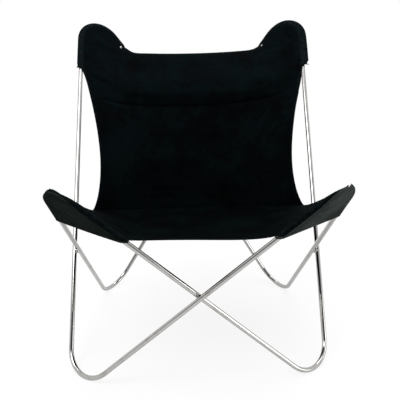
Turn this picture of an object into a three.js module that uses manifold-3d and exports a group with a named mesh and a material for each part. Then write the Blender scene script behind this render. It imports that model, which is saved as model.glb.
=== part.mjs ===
import * as THREE from 'three';
import Module from 'manifold-3d';
import { mergeVertices } from 'three/addons/utils/BufferGeometryUtils.js';

// Butterfly sling chair: two welded loops of round steel bar carry a canvas sling by its corners.
// Lengths are in millimetres. X runs to the right as seen from the front, Y to the back and Z
// up; left and right are as seen from the front. The origin is on the floor under the middle of the chair.

// The bar
const barDiameter = 12.7;
const footBendRadius = 80;
const frontBendRadius = 71;
const rearBendRadius = 68;
const weldGap = 0.3;
const footWear = 0.8;

// Where the straight runs of one loop would meet, measured from the middle of the frame
const frontCornerHalfWidth = 353;
const frontCornerDepth = 420;
const frontCornerHeight = 572;
const frontFootHalfWidth = 333.5;
const frontFootDepth = 304;
const rearCornerHalfWidth = 347;
const rearCornerDepth = 442;
const rearCornerHeight = 961;
const rearFootHalfWidth = 297;
const rearFootDepth = 260;

// Canvas
const canvas = 1.2;
const seamGap = 0.3;
const barGap = 0.5;
const backingGap = 0.9;
const creaseClear = 1.6;
const hemRoll = 2.6;
const hemWidth = 16;
const hemInset = 4;
const seamMargin = 19;
const bindingWidth = 14;

// Reach of each corner pocket along the bar, from the top of the bend to the pocket's mouth
const frontInnerReachLeft = 198;
const frontOuterReachLeft = 189;
const frontReachRight = 181;
const earReachInner = 119;
const earReachOuter = 182;
const mouthBow = 8;
const mouthLift = 2;
const mouthStep = 8;
const frontTipEaseLeft = 0.6;
const frontTipEaseRight = 8;
const frontEase = 2.2;
const earTipEaseLeft = 4;
const earTipEaseRight = 7;
const earInnerEaseLeft = 6;
const earInnerEaseRight = 1.5;
const earOuterEaseLeft = 2;
const earOuterEaseRight = 8;

// The sling between the pockets
const frontHemSag = 17;
const frontHemBow = 30;
const seatSideBow = 13;
const seatSideSag = 8;
const seatSag = 25;
const notchHalfWidth = 322;
const notchDepth = 120;
const notchHeight = 314.2;
const notchShift = 11;
const notchTilt = 4.7;
const creaseBow = 88;
const creaseDrop = 25;
const waistInset = 36;
const waistForward = 8;
const topHemDepth = 400;
const topHemHalfWidth = 195;
const topHemHeight = 768;
const topHemSag = 6;
const foldBelowTop = 160;
const foldWidth = 11;
const foldDepth = 6;
const headBulge = 13;

// Rivets at the inner ends of the ear seams
const rivetDiameter = 7;
const rivetHeight = 1.6;

// Weld beads
const weldReach = 8.5;

// How finely the round forms are divided
const barSides = 12;
const bendSteps = 8;
const mouthSteps = 3;
const hemColumns = 12;
const seatRows = 13;
const wrapRows = 5;
const pocketRows = 6;
const flatRows = 3;
const domeSteps = 4;
const beadSides = 16;
const beadRings = 12;

// How often the loops are levelled and set aside, which moves them less each time
const settleRounds = 12;

const barRadius = barDiameter / 2;
const rodColumns = bendSteps / 2 + mouthSteps;
const hugRadius = barRadius + barGap + canvas / 2;
const loopOffset = (barDiameter + weldGap) / 2;
const up = new THREE.Vector3(0, 0, 1);

const point = (x, y, z) => new THREE.Vector3(x, y, z);
const mix = (a, b, t) => a.clone().lerp(b, t);
const number = (a, b, t) => a + (b - a) * t;
const arch = (t) => 4 * t * (1 - t);
const smooth = (t) => THREE.MathUtils.smoothstep(t, 0, 1);
const along = (origin, direction, length) => origin.clone().addScaledVector(direction, length);

// A bend of the bar: the arc that rounds the corner between two straight runs
function bendAt(before, corner, after, radius) {
  const toBefore = before.clone().sub(corner).normalize();
  const toAfter = after.clone().sub(corner).normalize();
  const inward = toBefore.clone().add(toAfter).normalize();
  const half = toBefore.angleTo(toAfter) / 2;
  const centre = along(corner, inward, radius / Math.sin(half));
  const outward = inward.clone().negate();
  const side = along(toAfter, inward, -toAfter.dot(inward)).normalize();
  const normal = new THREE.Vector3().crossVectors(side, outward).normalize();
  if (normal.z < 0) normal.negate();
  return { radius, centre, outward, side, normal, sweep: Math.PI / 2 - half };
}

// The middle of the bar at a distance from the top of a bend: positive towards the next corner
function barAt(bend, distance) {
  const limit = bend.sweep * bend.radius;
  const held = THREE.MathUtils.clamp(distance, -limit, limit);
  const angle = held / bend.radius;
  const out = bend.outward.clone().multiplyScalar(Math.cos(angle));
  out.addScaledVector(bend.side, Math.sin(angle));
  const run = bend.side.clone().multiplyScalar(Math.cos(angle));
  run.addScaledVector(bend.outward, -Math.sin(angle));
  const middle = along(bend.centre, out, bend.radius).addScaledVector(run, distance - held);
  return { middle, out, run, normal: bend.normal };
}

// The four corners of a loop; hand is 1 for the loop that has its front corner on the left. Aside
// is how far the loop stands over to that corner's side.
function loopCorners(hand, aside, frontFootHeight, rearFootHeight) {
  const corners = [
    point(-frontCornerHalfWidth - aside, -frontCornerDepth, frontCornerHeight),
    point(frontFootHalfWidth - aside, -frontFootDepth, frontFootHeight),
    point(rearCornerHalfWidth - aside, rearCornerDepth, rearCornerHeight),
    point(-rearFootHalfWidth - aside, rearFootDepth, rearFootHeight),
  ];
  return corners.map(({ x, y, z }) => point(hand * x, y + hand * loopOffset, z));
}

function bendsOf(corners) {
  const radii = [frontBendRadius, footBendRadius, rearBendRadius, footBendRadius];
  return corners.map((corner, i) => (
    bendAt(corners[(i + 3) % 4], corner, corners[(i + 1) % 4], radii[i])
  ));
}

// The lowest height that the middle of the bar reaches in a bend
function lowestOf(bend) {
  return bend.centre.z - bend.radius * Math.hypot(bend.side.z, bend.outward.z);
}

const arcOf = (bend) => bend.sweep * bend.radius;
const runAfter = (bends, i) => barAt(bends[i], arcOf(bends[i]));

// Nearest points of two straight runs that pass each other
function crossingOf(runA, runB) {
  const offset = runA.middle.clone().sub(runB.middle);
  const both = runA.run.dot(runB.run);
  const a = offset.dot(runA.run);
  const b = offset.dot(runB.run);
  const bottom = 1 - both * both;
  const nearA = along(runA.middle, runA.run, (both * b - a) / bottom);
  const nearB = along(runB.middle, runB.run, (b - both * a) / bottom);
  return { nearA, nearB };
}

// How far one run passes to the right of another
function passing(runA, runB) {
  const { nearA, nearB } = crossingOf(runA, runB);
  const reach = nearA.clone().sub(nearB);
  return Math.sign(reach.x) * reach.length();
}

// Both loops. The feet are lowered until the underside of each foot bend, worn a little flat, is
// on the floor, and the loops are set aside until they touch at the closer of the side crossings.
function settledLoops() {
  const rest = barRadius - footWear;
  const heights = [0, 0];
  let aside = 0;
  const loopsNow = () => [1, -1].map((hand) => bendsOf(loopCorners(hand, aside, ...heights)));
  let loops = loopsNow();
  for (let round = 0; round < settleRounds; round += 1) {
    const [a, b] = loops;
    const left = passing(runAfter(a, 3), runAfter(b, 1));
    const right = passing(runAfter(a, 1), runAfter(b, 3));
    aside += (Math.min(left, right) - barDiameter - weldGap) / 2;
    heights[0] += rest - lowestOf(a[1]);
    heights[1] += rest - lowestOf(a[3]);
    loops = loopsNow();
  }
  return loops;
}

// A bar swept round all four bends of a loop and closed on itself
function sweptLoop(bends) {
  const stations = [];
  for (const bend of bends) {
    const limit = bend.sweep * bend.radius;
    for (let i = 0; i <= bendSteps; i += 1) {
      stations.push(barAt(bend, number(-limit, limit, i / bendSteps)));
    }
  }
  const count = stations.length;
  const sides = [stations[0].out.clone()];
  for (let i = 1; i <= count; i += 1) {
    const turn = new THREE.Quaternion();
    turn.setFromUnitVectors(stations[i - 1].run, stations[i % count].run);
    sides.push(sides[i - 1].clone().applyQuaternion(turn));
  }
  const first = stations[0];
  const across = new THREE.Vector3().crossVectors(first.run, first.out);
  const facet = (2 * Math.PI) / barSides;
  const drift = Math.atan2(sides[count].dot(across), sides[count].dot(first.out));
  const untwist = drift - Math.round(drift / facet) * facet;
  const shift = Math.round(drift / facet);
  const positions = [];
  stations.forEach((station, i) => {
    const back = -untwist * (i / count);
    const other = new THREE.Vector3().crossVectors(station.run, sides[i]);
    for (let k = 0; k < barSides; k += 1) {
      const angle = facet * (k + 0.5) + back;
      const spot = along(station.middle, sides[i], barRadius * Math.cos(angle));
      positions.push(...spot.addScaledVector(other, barRadius * Math.sin(angle)).toArray());
    }
  });
  const index = [];
  for (let i = 0; i < count; i += 1) {
    const next = (i + 1) % count;
    const roll = next === 0 ? shift : 0;
    for (let k = 0; k < barSides; k += 1) {
      const a = i * barSides + k;
      const b = i * barSides + ((k + 1) % barSides);
      const c = next * barSides + ((k + 1 + roll + barSides) % barSides);
      const d = next * barSides + ((k + roll + barSides) % barSides);
      index.push(a, b, c, a, c, d);
    }
  }
  return meshData(positions, index);
}

function meshData(positions, index) {
  const geometry = new THREE.BufferGeometry();
  geometry.setAttribute('position', new THREE.Float32BufferAttribute(positions, 3));
  geometry.setIndex(index);
  return geometry;
}

// Joining and cutting
const wasm = await Module();
wasm.setup();

function solidOf(geometry) {
  const plain = geometry.clone();
  plain.deleteAttribute('normal');
  plain.deleteAttribute('uv');
  const merged = mergeVertices(plain);
  return new wasm.Manifold(new wasm.Mesh({
    numProp: 3,
    vertProperties: new Float32Array(merged.attributes.position.array),
    triVerts: new Uint32Array(merged.index.array),
  }));
}

function geometryOf(solid) {
  const mesh = solid.getMesh();
  return meshData(Array.from(mesh.vertProperties), Array.from(mesh.triVerts));
}

// Cuts away what lies under the floor, which leaves the small worn flat on each foot
function wornFeet(loop) {
  const size = 4 * rearCornerHeight;
  const ground = new THREE.BoxGeometry(size, size, size);
  ground.translate(0, 0, -size / 2);
  return geometryOf(solidOf(loop).subtract(solidOf(ground)));
}

// A weld bead fills the corner all round the place where two bars touch
function weldBead(runA, runB) {
  const { nearA, nearB } = crossingOf(runA, runB);
  const reach = nearA.clone().sub(nearB);
  const bead = new THREE.SphereGeometry(1, beadSides, beadRings);
  bead.scale(weldReach, weldReach, reach.length() / 2);
  const turn = new THREE.Quaternion().setFromUnitVectors(up, reach.clone().normalize());
  bead.applyQuaternion(turn);
  bead.translate(...mix(nearA, nearB, 1 / 2).toArray());
  let solid = solidOf(bead);
  const clear = barRadius + weldGap;
  for (const [spot, run] of [[nearA, runA.run], [nearB, runB.run]]) {
    const bar = new THREE.CylinderGeometry(clear, clear, 8 * weldReach, 2 * barSides);
    bar.applyQuaternion(new THREE.Quaternion().setFromUnitVectors(new THREE.Vector3(0, 1, 0), run));
    bar.translate(...spot.toArray());
    solid = solid.subtract(solidOf(bar));
  }
  return geometryOf(solid);
}

// A sheet of cloth is a list of points and four-sided faces that look at the sitter
class Sheet {
  constructor() {
    this.points = [];
    this.faces = [];
  }

  add(spot) {
    this.points.push(spot);
    return this.points.length - 1;
  }

  // Joins two rows of point numbers with a strip of faces
  strip(rowA, rowB) {
    for (let i = 1; i < rowA.length; i += 1) {
      this.faces.push([rowA[i - 1], rowA[i], rowB[i], rowB[i - 1]]);
    }
  }

  faceNormal([a, b, c, d]) {
    const across = this.points[c].clone().sub(this.points[a]);
    return across.cross(this.points[d].clone().sub(this.points[b]));
  }

  normals() {
    const normals = this.points.map(() => new THREE.Vector3());
    for (const face of this.faces) {
      for (const i of face) normals[i].add(this.faceNormal(face));
    }
    return normals.map((normal) => normal.normalize());
  }

  // Turns all faces over if most of the sheet looks away from a direction
  facing(direction) {
    const total = new THREE.Vector3();
    for (const face of this.faces) total.add(this.faceNormal(face));
    if (total.dot(direction) < 0) this.faces.forEach((face) => face.reverse());
    return this;
  }

  // The face split so that its fold stands out towards the front, with lean 1, or back, with -1
  folded(face, lean) {
    const [a, b, c, d] = face;
    const fold = this.points[a].clone().add(this.points[c]);
    fold.sub(this.points[b]).sub(this.points[d]);
    return fold.dot(this.faceNormal(face)) * lean < 0 ? [b, c, d, a] : face;
  }

  // Gives the sheet its thickness: two skins and a rim along every free edge
  solid(thickness, lean) {
    const normals = this.normals();
    const count = this.points.length;
    const positions = [];
    for (const side of [0.5, -0.5]) {
      this.points.forEach((spot, i) => {
        positions.push(...along(spot, normals[i], side * thickness).toArray());
      });
    }
    const index = [];
    const edges = new Map();
    const triangle = (a, b, c) => index.push(a, b, c);
    for (const face of this.faces) {
      const [a, b, c, d] = this.folded(face, lean);
      triangle(a, b, c);
      triangle(a, c, d);
      triangle(count + a, count + c, count + b);
      triangle(count + a, count + d, count + c);
      for (const [from, to] of [[a, b], [b, c], [c, d], [d, a]]) edges.set(`${from}-${to}`, [from, to]);
    }
    for (const [from, to] of edges.values()) {
      if (edges.has(`${to}-${from}`)) continue;
      triangle(to, from, count + from);
      triangle(to, count + from, count + to);
    }
    return meshData(positions, index);
  }
}

// The frame
const [bendsA, bendsB] = settledLoops();

// The sling's corners: a bend, and how far the pocket reaches along the bar on each side of it.
// Inner is the bar that slopes to the middle of the chair, outer the one at the side.
// The seam to the pocket lies at seamTurn round the bar, and at tipTurn on top of the bend.
// The canvas stands off the outside of the bar by eases: at the top of the bend, and at the mouth
// on the inner bar and on the outer one.
const front = { seamTurn: 2.6, tipTurn: 1.1 };
const ear = { seamTurn: 1.6, tipTurn: 1.6, inner: earReachInner, outer: earReachOuter };
const frontLeft = {
  ...front,
  bend: bendsA[0],
  inner: frontInnerReachLeft,
  outer: frontOuterReachLeft,
  eases: [frontTipEaseLeft, frontEase, frontEase],
};
const frontRight = {
  ...front,
  bend: bendsB[0],
  inner: frontReachRight,
  outer: frontReachRight,
  eases: [frontTipEaseRight, frontEase, frontEase],
};
const rearLeft = {
  ...ear,
  bend: bendsB[2],
  eases: [earTipEaseLeft, earInnerEaseLeft, earOuterEaseLeft],
};
const rearRight = {
  ...ear,
  bend: bendsA[2],
  eases: [earTipEaseRight, earInnerEaseRight, earOuterEaseRight],
};

// Places along the bar where canvas is worked out: those of the bend itself, and three that lie
// close together at the pocket's mouth
function reaches(corner, reach) {
  const arc = arcOf(corner.bend);
  const half = bendSteps / 2;
  const list = [];
  for (let i = 0; i <= half; i += 1) list.push((arc * i) / half);
  for (let i = mouthSteps - 1; i >= 0; i -= 1) list.push(reach - i * mouthStep);
  return list;
}

// How near a place is to the mouth of the pocket, from 0, well inside, to 1, at the mouth
function mouthShare(corner, distance) {
  const reach = distance > 0 ? corner.inner : corner.outer;
  const inside = (reach - Math.abs(distance)) / ((mouthSteps - 1) * mouthStep);
  return THREE.MathUtils.clamp(1 - inside, 0, 1);
}

const easeShares = [0, 0.7];
function easeAt(corner, distance) {
  const reach = distance > 0 ? corner.inner : corner.outer;
  const t = THREE.MathUtils.smoothstep(Math.abs(distance) / reach, ...easeShares);
  return number(corner.eases[0], corner.eases[distance > 0 ? 1 : 2], t);
}

// How far the canvas runs from the middle of the bar
const hugRadiusAt = (corner, distance) => hugRadius + mouthLift * mouthShare(corner, distance);

// A place on canvas that hugs the bar: turned from the sitter's side of the bar round its outside
function hug(corner, distance, turn) {
  const bar = barAt(corner.bend, distance);
  const radius = hugRadiusAt(corner, distance);
  const spot = along(bar.middle, bar.normal, radius * Math.cos(turn));
  return spot.addScaledVector(bar.out, (radius + easeAt(corner, distance)) * Math.sin(turn));
}

// Turns a free spot of canvas round the bar towards a place that hugs it. Hold goes from 0, free,
// to 1, hugging; on the way the canvas keeps clear of the bar.
function turnTo(corner, distance, free, turn, hold) {
  if (hold === 1) return hug(corner, distance, turn);
  const bar = barAt(corner.bend, distance);
  const offset = free.clone().sub(bar.middle);
  const [rise, aside, beyond] = [bar.normal, bar.out, bar.run].map((axis) => offset.dot(axis));
  const angle = number(Math.atan2(aside, rise), turn, hold);
  const least = hugRadius + mouthLift;
  const radius = Math.max(least, number(Math.hypot(rise, aside), hugRadius, hold));
  const spot = along(bar.middle, bar.normal, radius * Math.cos(angle));
  spot.addScaledVector(bar.out, radius * Math.sin(angle));
  return spot.addScaledVector(bar.run, beyond * (1 - hold));
}

// The seam runs round the bar at full turn, and comes forward where the canvas leaves the bar
const mouthTurnShare = 0.2;
function seamTurnAt(corner, distance) {
  const full = number(corner.tipTurn, corner.seamTurn, smooth(distance / arcOf(corner.bend)));
  return full * number(1, mouthTurnShare, mouthShare(corner, distance));
}

// A grid of canvas between four edges, each column running from the first edge to the second
function fillBetween(first, second, left, right, shares) {
  const last = first.length - 1;
  return first.map((start, i) => {
    const across = (start.x - first[0].x) / (first[last].x - first[0].x);
    return left.map((station, j) => {
      const t = shares[j];
      const pullLeft = station.spot.clone().sub(mix(first[0], second[0], t));
      const pullRight = right[j].spot.clone().sub(mix(first[last], second[last], t));
      return mix(start, second[i], t).addScaledVector(pullLeft, 1 - across)
        .addScaledVector(pullRight, across);
    });
  });
}

// The sitter's side of a grid of canvas at one of its points
function gridNormal(grid, i, j) {
  const rows = grid[i].length;
  const across = grid[Math.min(i + 1, grid.length - 1)][j].clone();
  across.sub(grid[Math.max(i - 1, 0)][j]);
  const rise = grid[i][Math.min(j + 1, rows - 1)].clone().sub(grid[i][Math.max(j - 1, 0)]);
  return across.cross(rise).normalize();
}

// The crease between seat and back, from the left notch to the right one
function creaseAt(across) {
  const side = 2 * across - 1;
  return point(
    side * notchHalfWidth + notchShift,
    notchDepth + creaseBow * arch(across),
    notchHeight - creaseDrop * arch(across) + side * notchTilt,
  );
}

// Where the columns of both panels end on the crease. Those that start on a bar are spread about
// as they are there, half as on the front corners and half as in the ears.
const creaseSideShare = 0.19;
function creaseShare(near) {
  if (near > rodColumns) {
    return number(creaseSideShare, 1 - creaseSideShare, (near - rodColumns) / hemColumns);
  }
  const [first, second] = [frontLeft, rearLeft].map(({ bend, inner }) => (
    reaches({ bend }, inner)[near] / inner
  ));
  return (creaseSideShare * (first + second)) / 2;
}
const crease = [];
for (let i = 0; i <= 2 * rodColumns + hemColumns; i += 1) {
  const near = Math.min(i, 2 * rodColumns + hemColumns - i);
  crease.push(creaseAt(near === i ? creaseShare(near) : 1 - creaseShare(near)));
}
const creaseEnd = (side) => (side < 0 ? crease[0] : crease[crease.length - 1]);

// Free stretches of the edges
function frontHemAt(t) {
  const spot = mix(hug(frontLeft, frontLeft.inner, 0), hug(frontRight, frontRight.inner, 0), t);
  return spot.add(point(0, frontHemBow * arch(t), -frontHemSag * arch(t)));
}

const topHem = new THREE.CatmullRomCurve3([
  hug(rearLeft, rearLeft.inner, Math.PI / 2),
  point(-topHemHalfWidth, topHemDepth, topHemHeight),
  point(0, topHemDepth - topHemSag, topHemHeight - topHemSag),
  point(topHemHalfWidth, topHemDepth, topHemHeight),
  hug(rearRight, rearRight.inner, Math.PI / 2),
]);

function seatSideAt(corner, side, t) {
  const spot = mix(hug(corner, 0, 0), creaseEnd(side), t);
  spot.x -= side * seatSideBow * arch(t);
  spot.z -= seatSideSag * arch(t);
  return spot;
}

const waistShare = 0.75;
function backSideAt(corner, side, t) {
  const spot = mix(creaseEnd(side), hug(corner, -corner.outer, 0), t);
  spot.x -= side * waistInset * Math.sin(Math.PI * t ** waistShare);
  spot.y -= waistForward * arch(t);
  return spot;
}

// The long edge of a panel: up one bar from the pocket's mouth, and between the bars a free hem.
// Hold says how far the edge hugs the bar, from 0, free, to 1.
function longEdge(left, right, hemAt) {
  const held = (corner) => reaches(corner, corner.inner).map((distance) => ({
    corner,
    distance,
    hold: 1,
    spot: hug(corner, distance, 0),
    turn: seamTurnAt(corner, distance),
  }));
  const stations = held(left);
  for (let i = 1; i < hemColumns; i += 1) {
    const corner = i < hemColumns / 2 ? left : right;
    stations.push({
      corner,
      distance: corner.inner,
      hold: 0,
      spot: hemAt(i / hemColumns),
      turn: corner.seamTurn,
    });
  }
  return [...stations, ...held(right).reverse()];
}

// The side edge of the seat, from the bend to the notch; the canvas leaves the bar past the bend
function seatSide(corner, side) {
  const whole = hug(corner, 0, 0).distanceTo(creaseEnd(side));
  const list = reaches(corner, corner.outer);
  const rest = seatRows - rodColumns - 1;
  for (let i = 1; i <= rest; i += 1) {
    list.push(number(corner.outer, whole - seamMargin, i / rest));
  }
  list.push(whole);
  return list.map((distance) => ({
    corner,
    distance: -distance,
    hold: 1 - smooth(distance / arcOf(corner.bend)),
    spot: seatSideAt(corner, side, distance / whole),
    turn: corner.tipTurn,
    share: distance / whole,
  }));
}

// The side edge of the back, from the notch to the bend in the ear, and the share of the height
// that each of its places takes at the edge and in the middle of the back
const sideShares = [0, 0.045, 0.145, 0.3, 0.455, 0.585, 0.69, 0.755, 0.8, 0.84, 0.89, 0.945];
const middleShares = [0, 0.038, 0.12, 0.25, 0.38, 0.49, 0.575, 0.625, 0.66, 0.695, 0.76, 0.84];
const earBottomShare = 0.91;
function backSide(corner, side) {
  const free = sideShares.map((t, j) => ({
    corner,
    distance: -corner.outer,
    hold: 0,
    spot: backSideAt(corner, side, t),
    turn: corner.seamTurn,
    share: middleShares[j],
  }));
  const held = reaches(corner, corner.outer).reverse().map((distance, j) => ({
    corner,
    distance: -distance,
    hold: 1,
    spot: hug(corner, -distance, 0),
    turn: seamTurnAt(corner, -distance),
    share: number(earBottomShare, 1, j / rodColumns),
  }));
  return [...free, ...held];
}

// Canvas rolled over an edge: round the bar where the edge hugs it, round itself where it is free
function rolled(station, spot, normal, out, share) {
  const turn = (Math.PI / 2) * share;
  const free = along(spot, normal, hemRoll * (Math.cos(turn) - 1));
  free.addScaledVector(out, hemRoll * Math.sin(turn));
  return turnTo(station.corner, station.distance, free, station.turn * share, station.hold);
}

// A panel: its grid, and a lip rolled over the left side, the long edge and the right side
function makePanel(grid, left, edge, right, edgeRow) {
  const sheet = new Sheet();
  const numbers = grid.map((column) => column.map((spot) => sheet.add(spot)));
  for (let i = 1; i < grid.length; i += 1) sheet.strip(numbers[i], numbers[i - 1]);
  const last = grid.length - 1;
  const rows = left.map((station, j) => j).filter((j) => j !== edgeRow);
  if (edgeRow === 0) rows.reverse();
  const beside = edgeRow === 0 ? 1 : edgeRow - 1;
  const path = [
    ...rows.map((j) => ({ i: 0, j, station: left[j], inside: grid[1][j] })),
    ...edge.map((station, i) => ({ i, j: edgeRow, station, inside: grid[i][beside] })),
    ...rows.reverse().map((j) => ({ i: last, j, station: right[j], inside: grid[last - 1][j] })),
  ];
  const lips = path.map(({ i, j, station, inside }) => {
    const spot = grid[i][j];
    const normal = gridNormal(grid, i, j);
    const out = spot.clone().sub(inside);
    out.addScaledVector(normal, -out.dot(normal)).normalize();
    const row = [numbers[i][j]];
    for (let k = 1; k <= wrapRows; k += 1) {
      row.push(sheet.add(rolled(station, spot, normal, out, k / wrapRows)));
    }
    return { ...station, row, normal, rim: sheet.points[row[wrapRows]] };
  });
  for (let i = 1; i < lips.length; i += 1) {
    if (edgeRow === 0) sheet.strip(lips[i - 1].row, lips[i].row);
    else sheet.strip(lips[i].row, lips[i - 1].row);
  }
  return { sheet, grid, lips, tips: [rows.length, rows.length + last] };
}

// Draws the last row of a grid back from the crease, so that the two panels don't meet
function drawBack(grid, row, towards) {
  for (const column of grid) {
    const step = column[towards].clone().sub(column[row]).normalize();
    column[row].addScaledVector(step, creaseClear);
  }
}

function makeSeat() {
  const edge = longEdge(frontLeft, frontRight, frontHemAt);
  const left = seatSide(frontLeft, -1);
  const right = seatSide(frontRight, 1);
  const shares = left.map((station) => station.share);
  const grid = fillBetween(edge.map((station) => station.spot), crease, left, right, shares);
  grid.forEach((column, i) => column.forEach((spot, j) => {
    spot.z -= seatSag * arch(shares[j]) * Math.sqrt(arch(i / (grid.length - 1)));
  }));
  drawBack(grid, seatRows, seatRows - 1);
  return makePanel(grid, left, edge, right, 0);
}

// How far the back stands towards the sitter: full under the head, and drawn in at the fold below
const headShare = 0.6;
function headFold(below) {
  const t = below / foldBelowTop;
  const full = t < 1 ? headBulge * Math.sin(Math.PI * t ** (1 / headShare)) ** 2 : 0;
  return full - foldDepth * Math.exp(-(((below - foldBelowTop) / foldWidth) ** 2));
}

function makeBack() {
  const edge = longEdge(rearLeft, rearRight, (t) => topHem.getPointAt(t));
  const left = backSide(rearLeft, -1);
  const right = backSide(rearRight, 1);
  const shares = left.map((station) => station.share);
  const top = edge.map((station) => station.spot);
  const grid = fillBetween(crease, top, left, right, shares);
  const normals = grid.map((column, i) => column.map((spot, j) => gridNormal(grid, i, j)));
  grid.forEach((column, i) => {
    const height = crease[i].distanceTo(top[i]);
    column.forEach((spot, j) => {
      const full = headFold(height * (1 - shares[j])) * smooth(arch(i / (grid.length - 1)));
      spot.addScaledVector(normals[i][j], full);
    });
  });
  drawBack(grid, 0, 1);
  return makePanel(grid, left, edge, right, shares.length - 1);
}

// A corner pocket: sewn to the panel's lip, it goes on round the bar and closes over the far side
const leaveTurn = 0.1;
function makePocket(corner, lips) {
  const sheet = new Sheet();
  const distances = [
    ...reaches(corner, corner.inner).slice(1).reverse(),
    ...reaches(corner, corner.outer).map((distance) => -distance),
  ];
  const start = barAt(corner.bend, corner.inner).middle;
  const end = barAt(corner.bend, -corner.outer).middle;
  const mouth = [];
  const rows = distances.map((distance, i) => {
    const bar = barAt(corner.bend, distance);
    const lip = lips[i];
    const free = along(lip.rim, lip.normal, -(seamGap + canvas / 2));
    const turn = lip.turn + (canvas / 2 + seamGap) / hugRadius;
    const begin = turnTo(corner, distance, free, turn, lip.hold);
    const offset = begin.clone().sub(bar.middle);
    const rise = offset.dot(bar.normal);
    const aside = offset.dot(bar.out);
    const radius = hugRadiusAt(corner, distance);
    const touch = Math.acos(Math.min(1, radius / Math.hypot(rise, aside)));
    const leave = Math.atan2(aside, rise) + touch + leaveTurn;
    const row = [sheet.add(begin)];
    for (let k = 0; k <= pocketRows; k += 1) {
      row.push(sheet.add(hug(corner, distance, number(leave, Math.PI, k / pocketRows))));
    }
    const t = (corner.inner - distance) / (corner.inner + corner.outer);
    const bottom = hug(corner, distance, Math.PI);
    const edge = along(mix(start, end, t), bar.normal, -hugRadius);
    edge.addScaledVector(corner.bend.outward, mouthBow * arch(t));
    for (let k = 1; k <= flatRows; k += 1) row.push(sheet.add(mix(bottom, edge, k / flatRows)));
    mouth.push({ edge, bottom, t, normal: bar.normal });
    return row;
  });
  for (let i = 1; i < rows.length; i += 1) sheet.strip(rows[i - 1], rows[i]);
  sheet.facing(corner.bend.normal.clone().negate());
  return { sheet, mouth };
}

// The lips that a pocket is sewn to, from the mouth on the inner bar to the mouth on the outer one
function lipsOf(panel, side) {
  const tip = side < 0 ? panel.tips[0] : panel.tips[1];
  const list = [];
  for (let i = -rodColumns; i <= rodColumns; i += 1) list.push(panel.lips[tip + side * i]);
  return list;
}

// A strip of canvas through rows of points, which looks at the sitter
const sitter = point(0, -1, 1);
function makeStrip(rows) {
  const sheet = new Sheet();
  const numbers = rows.map((row) => row.map((spot) => sheet.add(spot)));
  for (let i = 1; i < numbers.length; i += 1) sheet.strip(numbers[i - 1], numbers[i]);
  return sheet.facing(sitter);
}

// A place on the far side of a panel, some way in from its edge along a line of grid places
const backing = canvas + backingGap;
function behind(grid, line, distance, offset = -backing) {
  let rest = distance;
  let k = 1;
  const spotAt = ([i, j]) => grid[i][j];
  while (k < line.length - 1 && rest > spotAt(line[k - 1]).distanceTo(spotAt(line[k]))) {
    rest -= spotAt(line[k - 1]).distanceTo(spotAt(line[k]));
    k += 1;
  }
  const [from, to] = [line[k - 1], line[k]];
  const t = rest / spotAt(from).distanceTo(spotAt(to));
  const normal = mix(gridNormal(grid, ...from), gridNormal(grid, ...to), t).normalize();
  return along(mix(spotAt(from), spotAt(to), t), normal, offset);
}

const steps = (from, to) => Array.from({ length: to - from + 1 }, (_, k) => from + k);

// The turned hem behind a free long edge, between the two bars
function makeHem(panel, edgeRow, inwards) {
  const last = panel.grid.length - 1;
  const columns = steps(rodColumns + 1, last - rodColumns - 1);
  return makeStrip(columns.map((i) => {
    const line = steps(0, 4).map((k) => [i, edgeRow + inwards * k]);
    return [0, 1 / 2, 1].map((share) => behind(panel.grid, line, hemInset + hemWidth * share));
  }));
}

// The sharp turn behind the crease, where a strip passes from the seat to the back
function behindCrease(i) {
  const rear = gridNormal(back.grid, i, 0);
  const under = gridNormal(seat.grid, i, seatRows);
  const spot = crease[i].clone();
  return spot.addScaledVector(rear.clone().add(under), -backing / (1 + rear.dot(under)));
}

// The binding behind a long side edge, from the front pocket over the notch up to the ear
function makeBinding(side) {
  const last = seat.grid.length - 1;
  const inwards = (j) => steps(0, 3).map((k) => [side < 0 ? k : last - k, j]);
  const shares = [0, 1];
  const rowOf = (grid, j) => shares.map((share) => (
    behind(grid, inwards(j), hemInset + bindingWidth * share)
  ));
  const turn = shares.map((share) => {
    const spot = behindCrease(side < 0 ? 0 : last);
    const step = crease[side < 0 ? 1 : last - 1].clone().sub(crease[side < 0 ? 0 : last]);
    return along(spot, step.normalize(), hemInset + bindingWidth * share);
  });
  return makeStrip([
    ...steps(rodColumns, seatRows).map((j) => rowOf(seat.grid, j)),
    turn,
    ...steps(0, sideShares.length - 2).map((j) => rowOf(back.grid, j)),
  ]);
}

// The felled strip behind the seam between seat and back
function makeCrossSeam() {
  const last = seat.grid.length - 1;
  return makeStrip(steps(2, last - 2).map((i) => {
    const under = [seatRows, seatRows - 1, seatRows - 2].map((j) => [i, j]);
    const rear = [0, 1, 2].map((j) => [i, j]);
    return [
      behind(seat.grid, under, hemWidth),
      behind(seat.grid, under, 0),
      behindCrease(i),
      behind(back.grid, rear, 0),
      behind(back.grid, rear, hemWidth),
    ];
  }));
}

// The hem inside the mouth of a pocket, clear of both bars
const mouthHemShares = [0.16, 0.84];
function makeMouthHem(pocket) {
  const inside = pocket.mouth.filter(({ t }) => t > mouthHemShares[0] && t < mouthHemShares[1]);
  return makeStrip(inside.map(({ edge, bottom, normal }) => {
    const step = bottom.clone().sub(edge).normalize();
    const spot = along(edge, normal, backing);
    return [along(spot, step, hemInset), along(spot, step, hemInset + hemWidth)];
  }));
}

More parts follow.
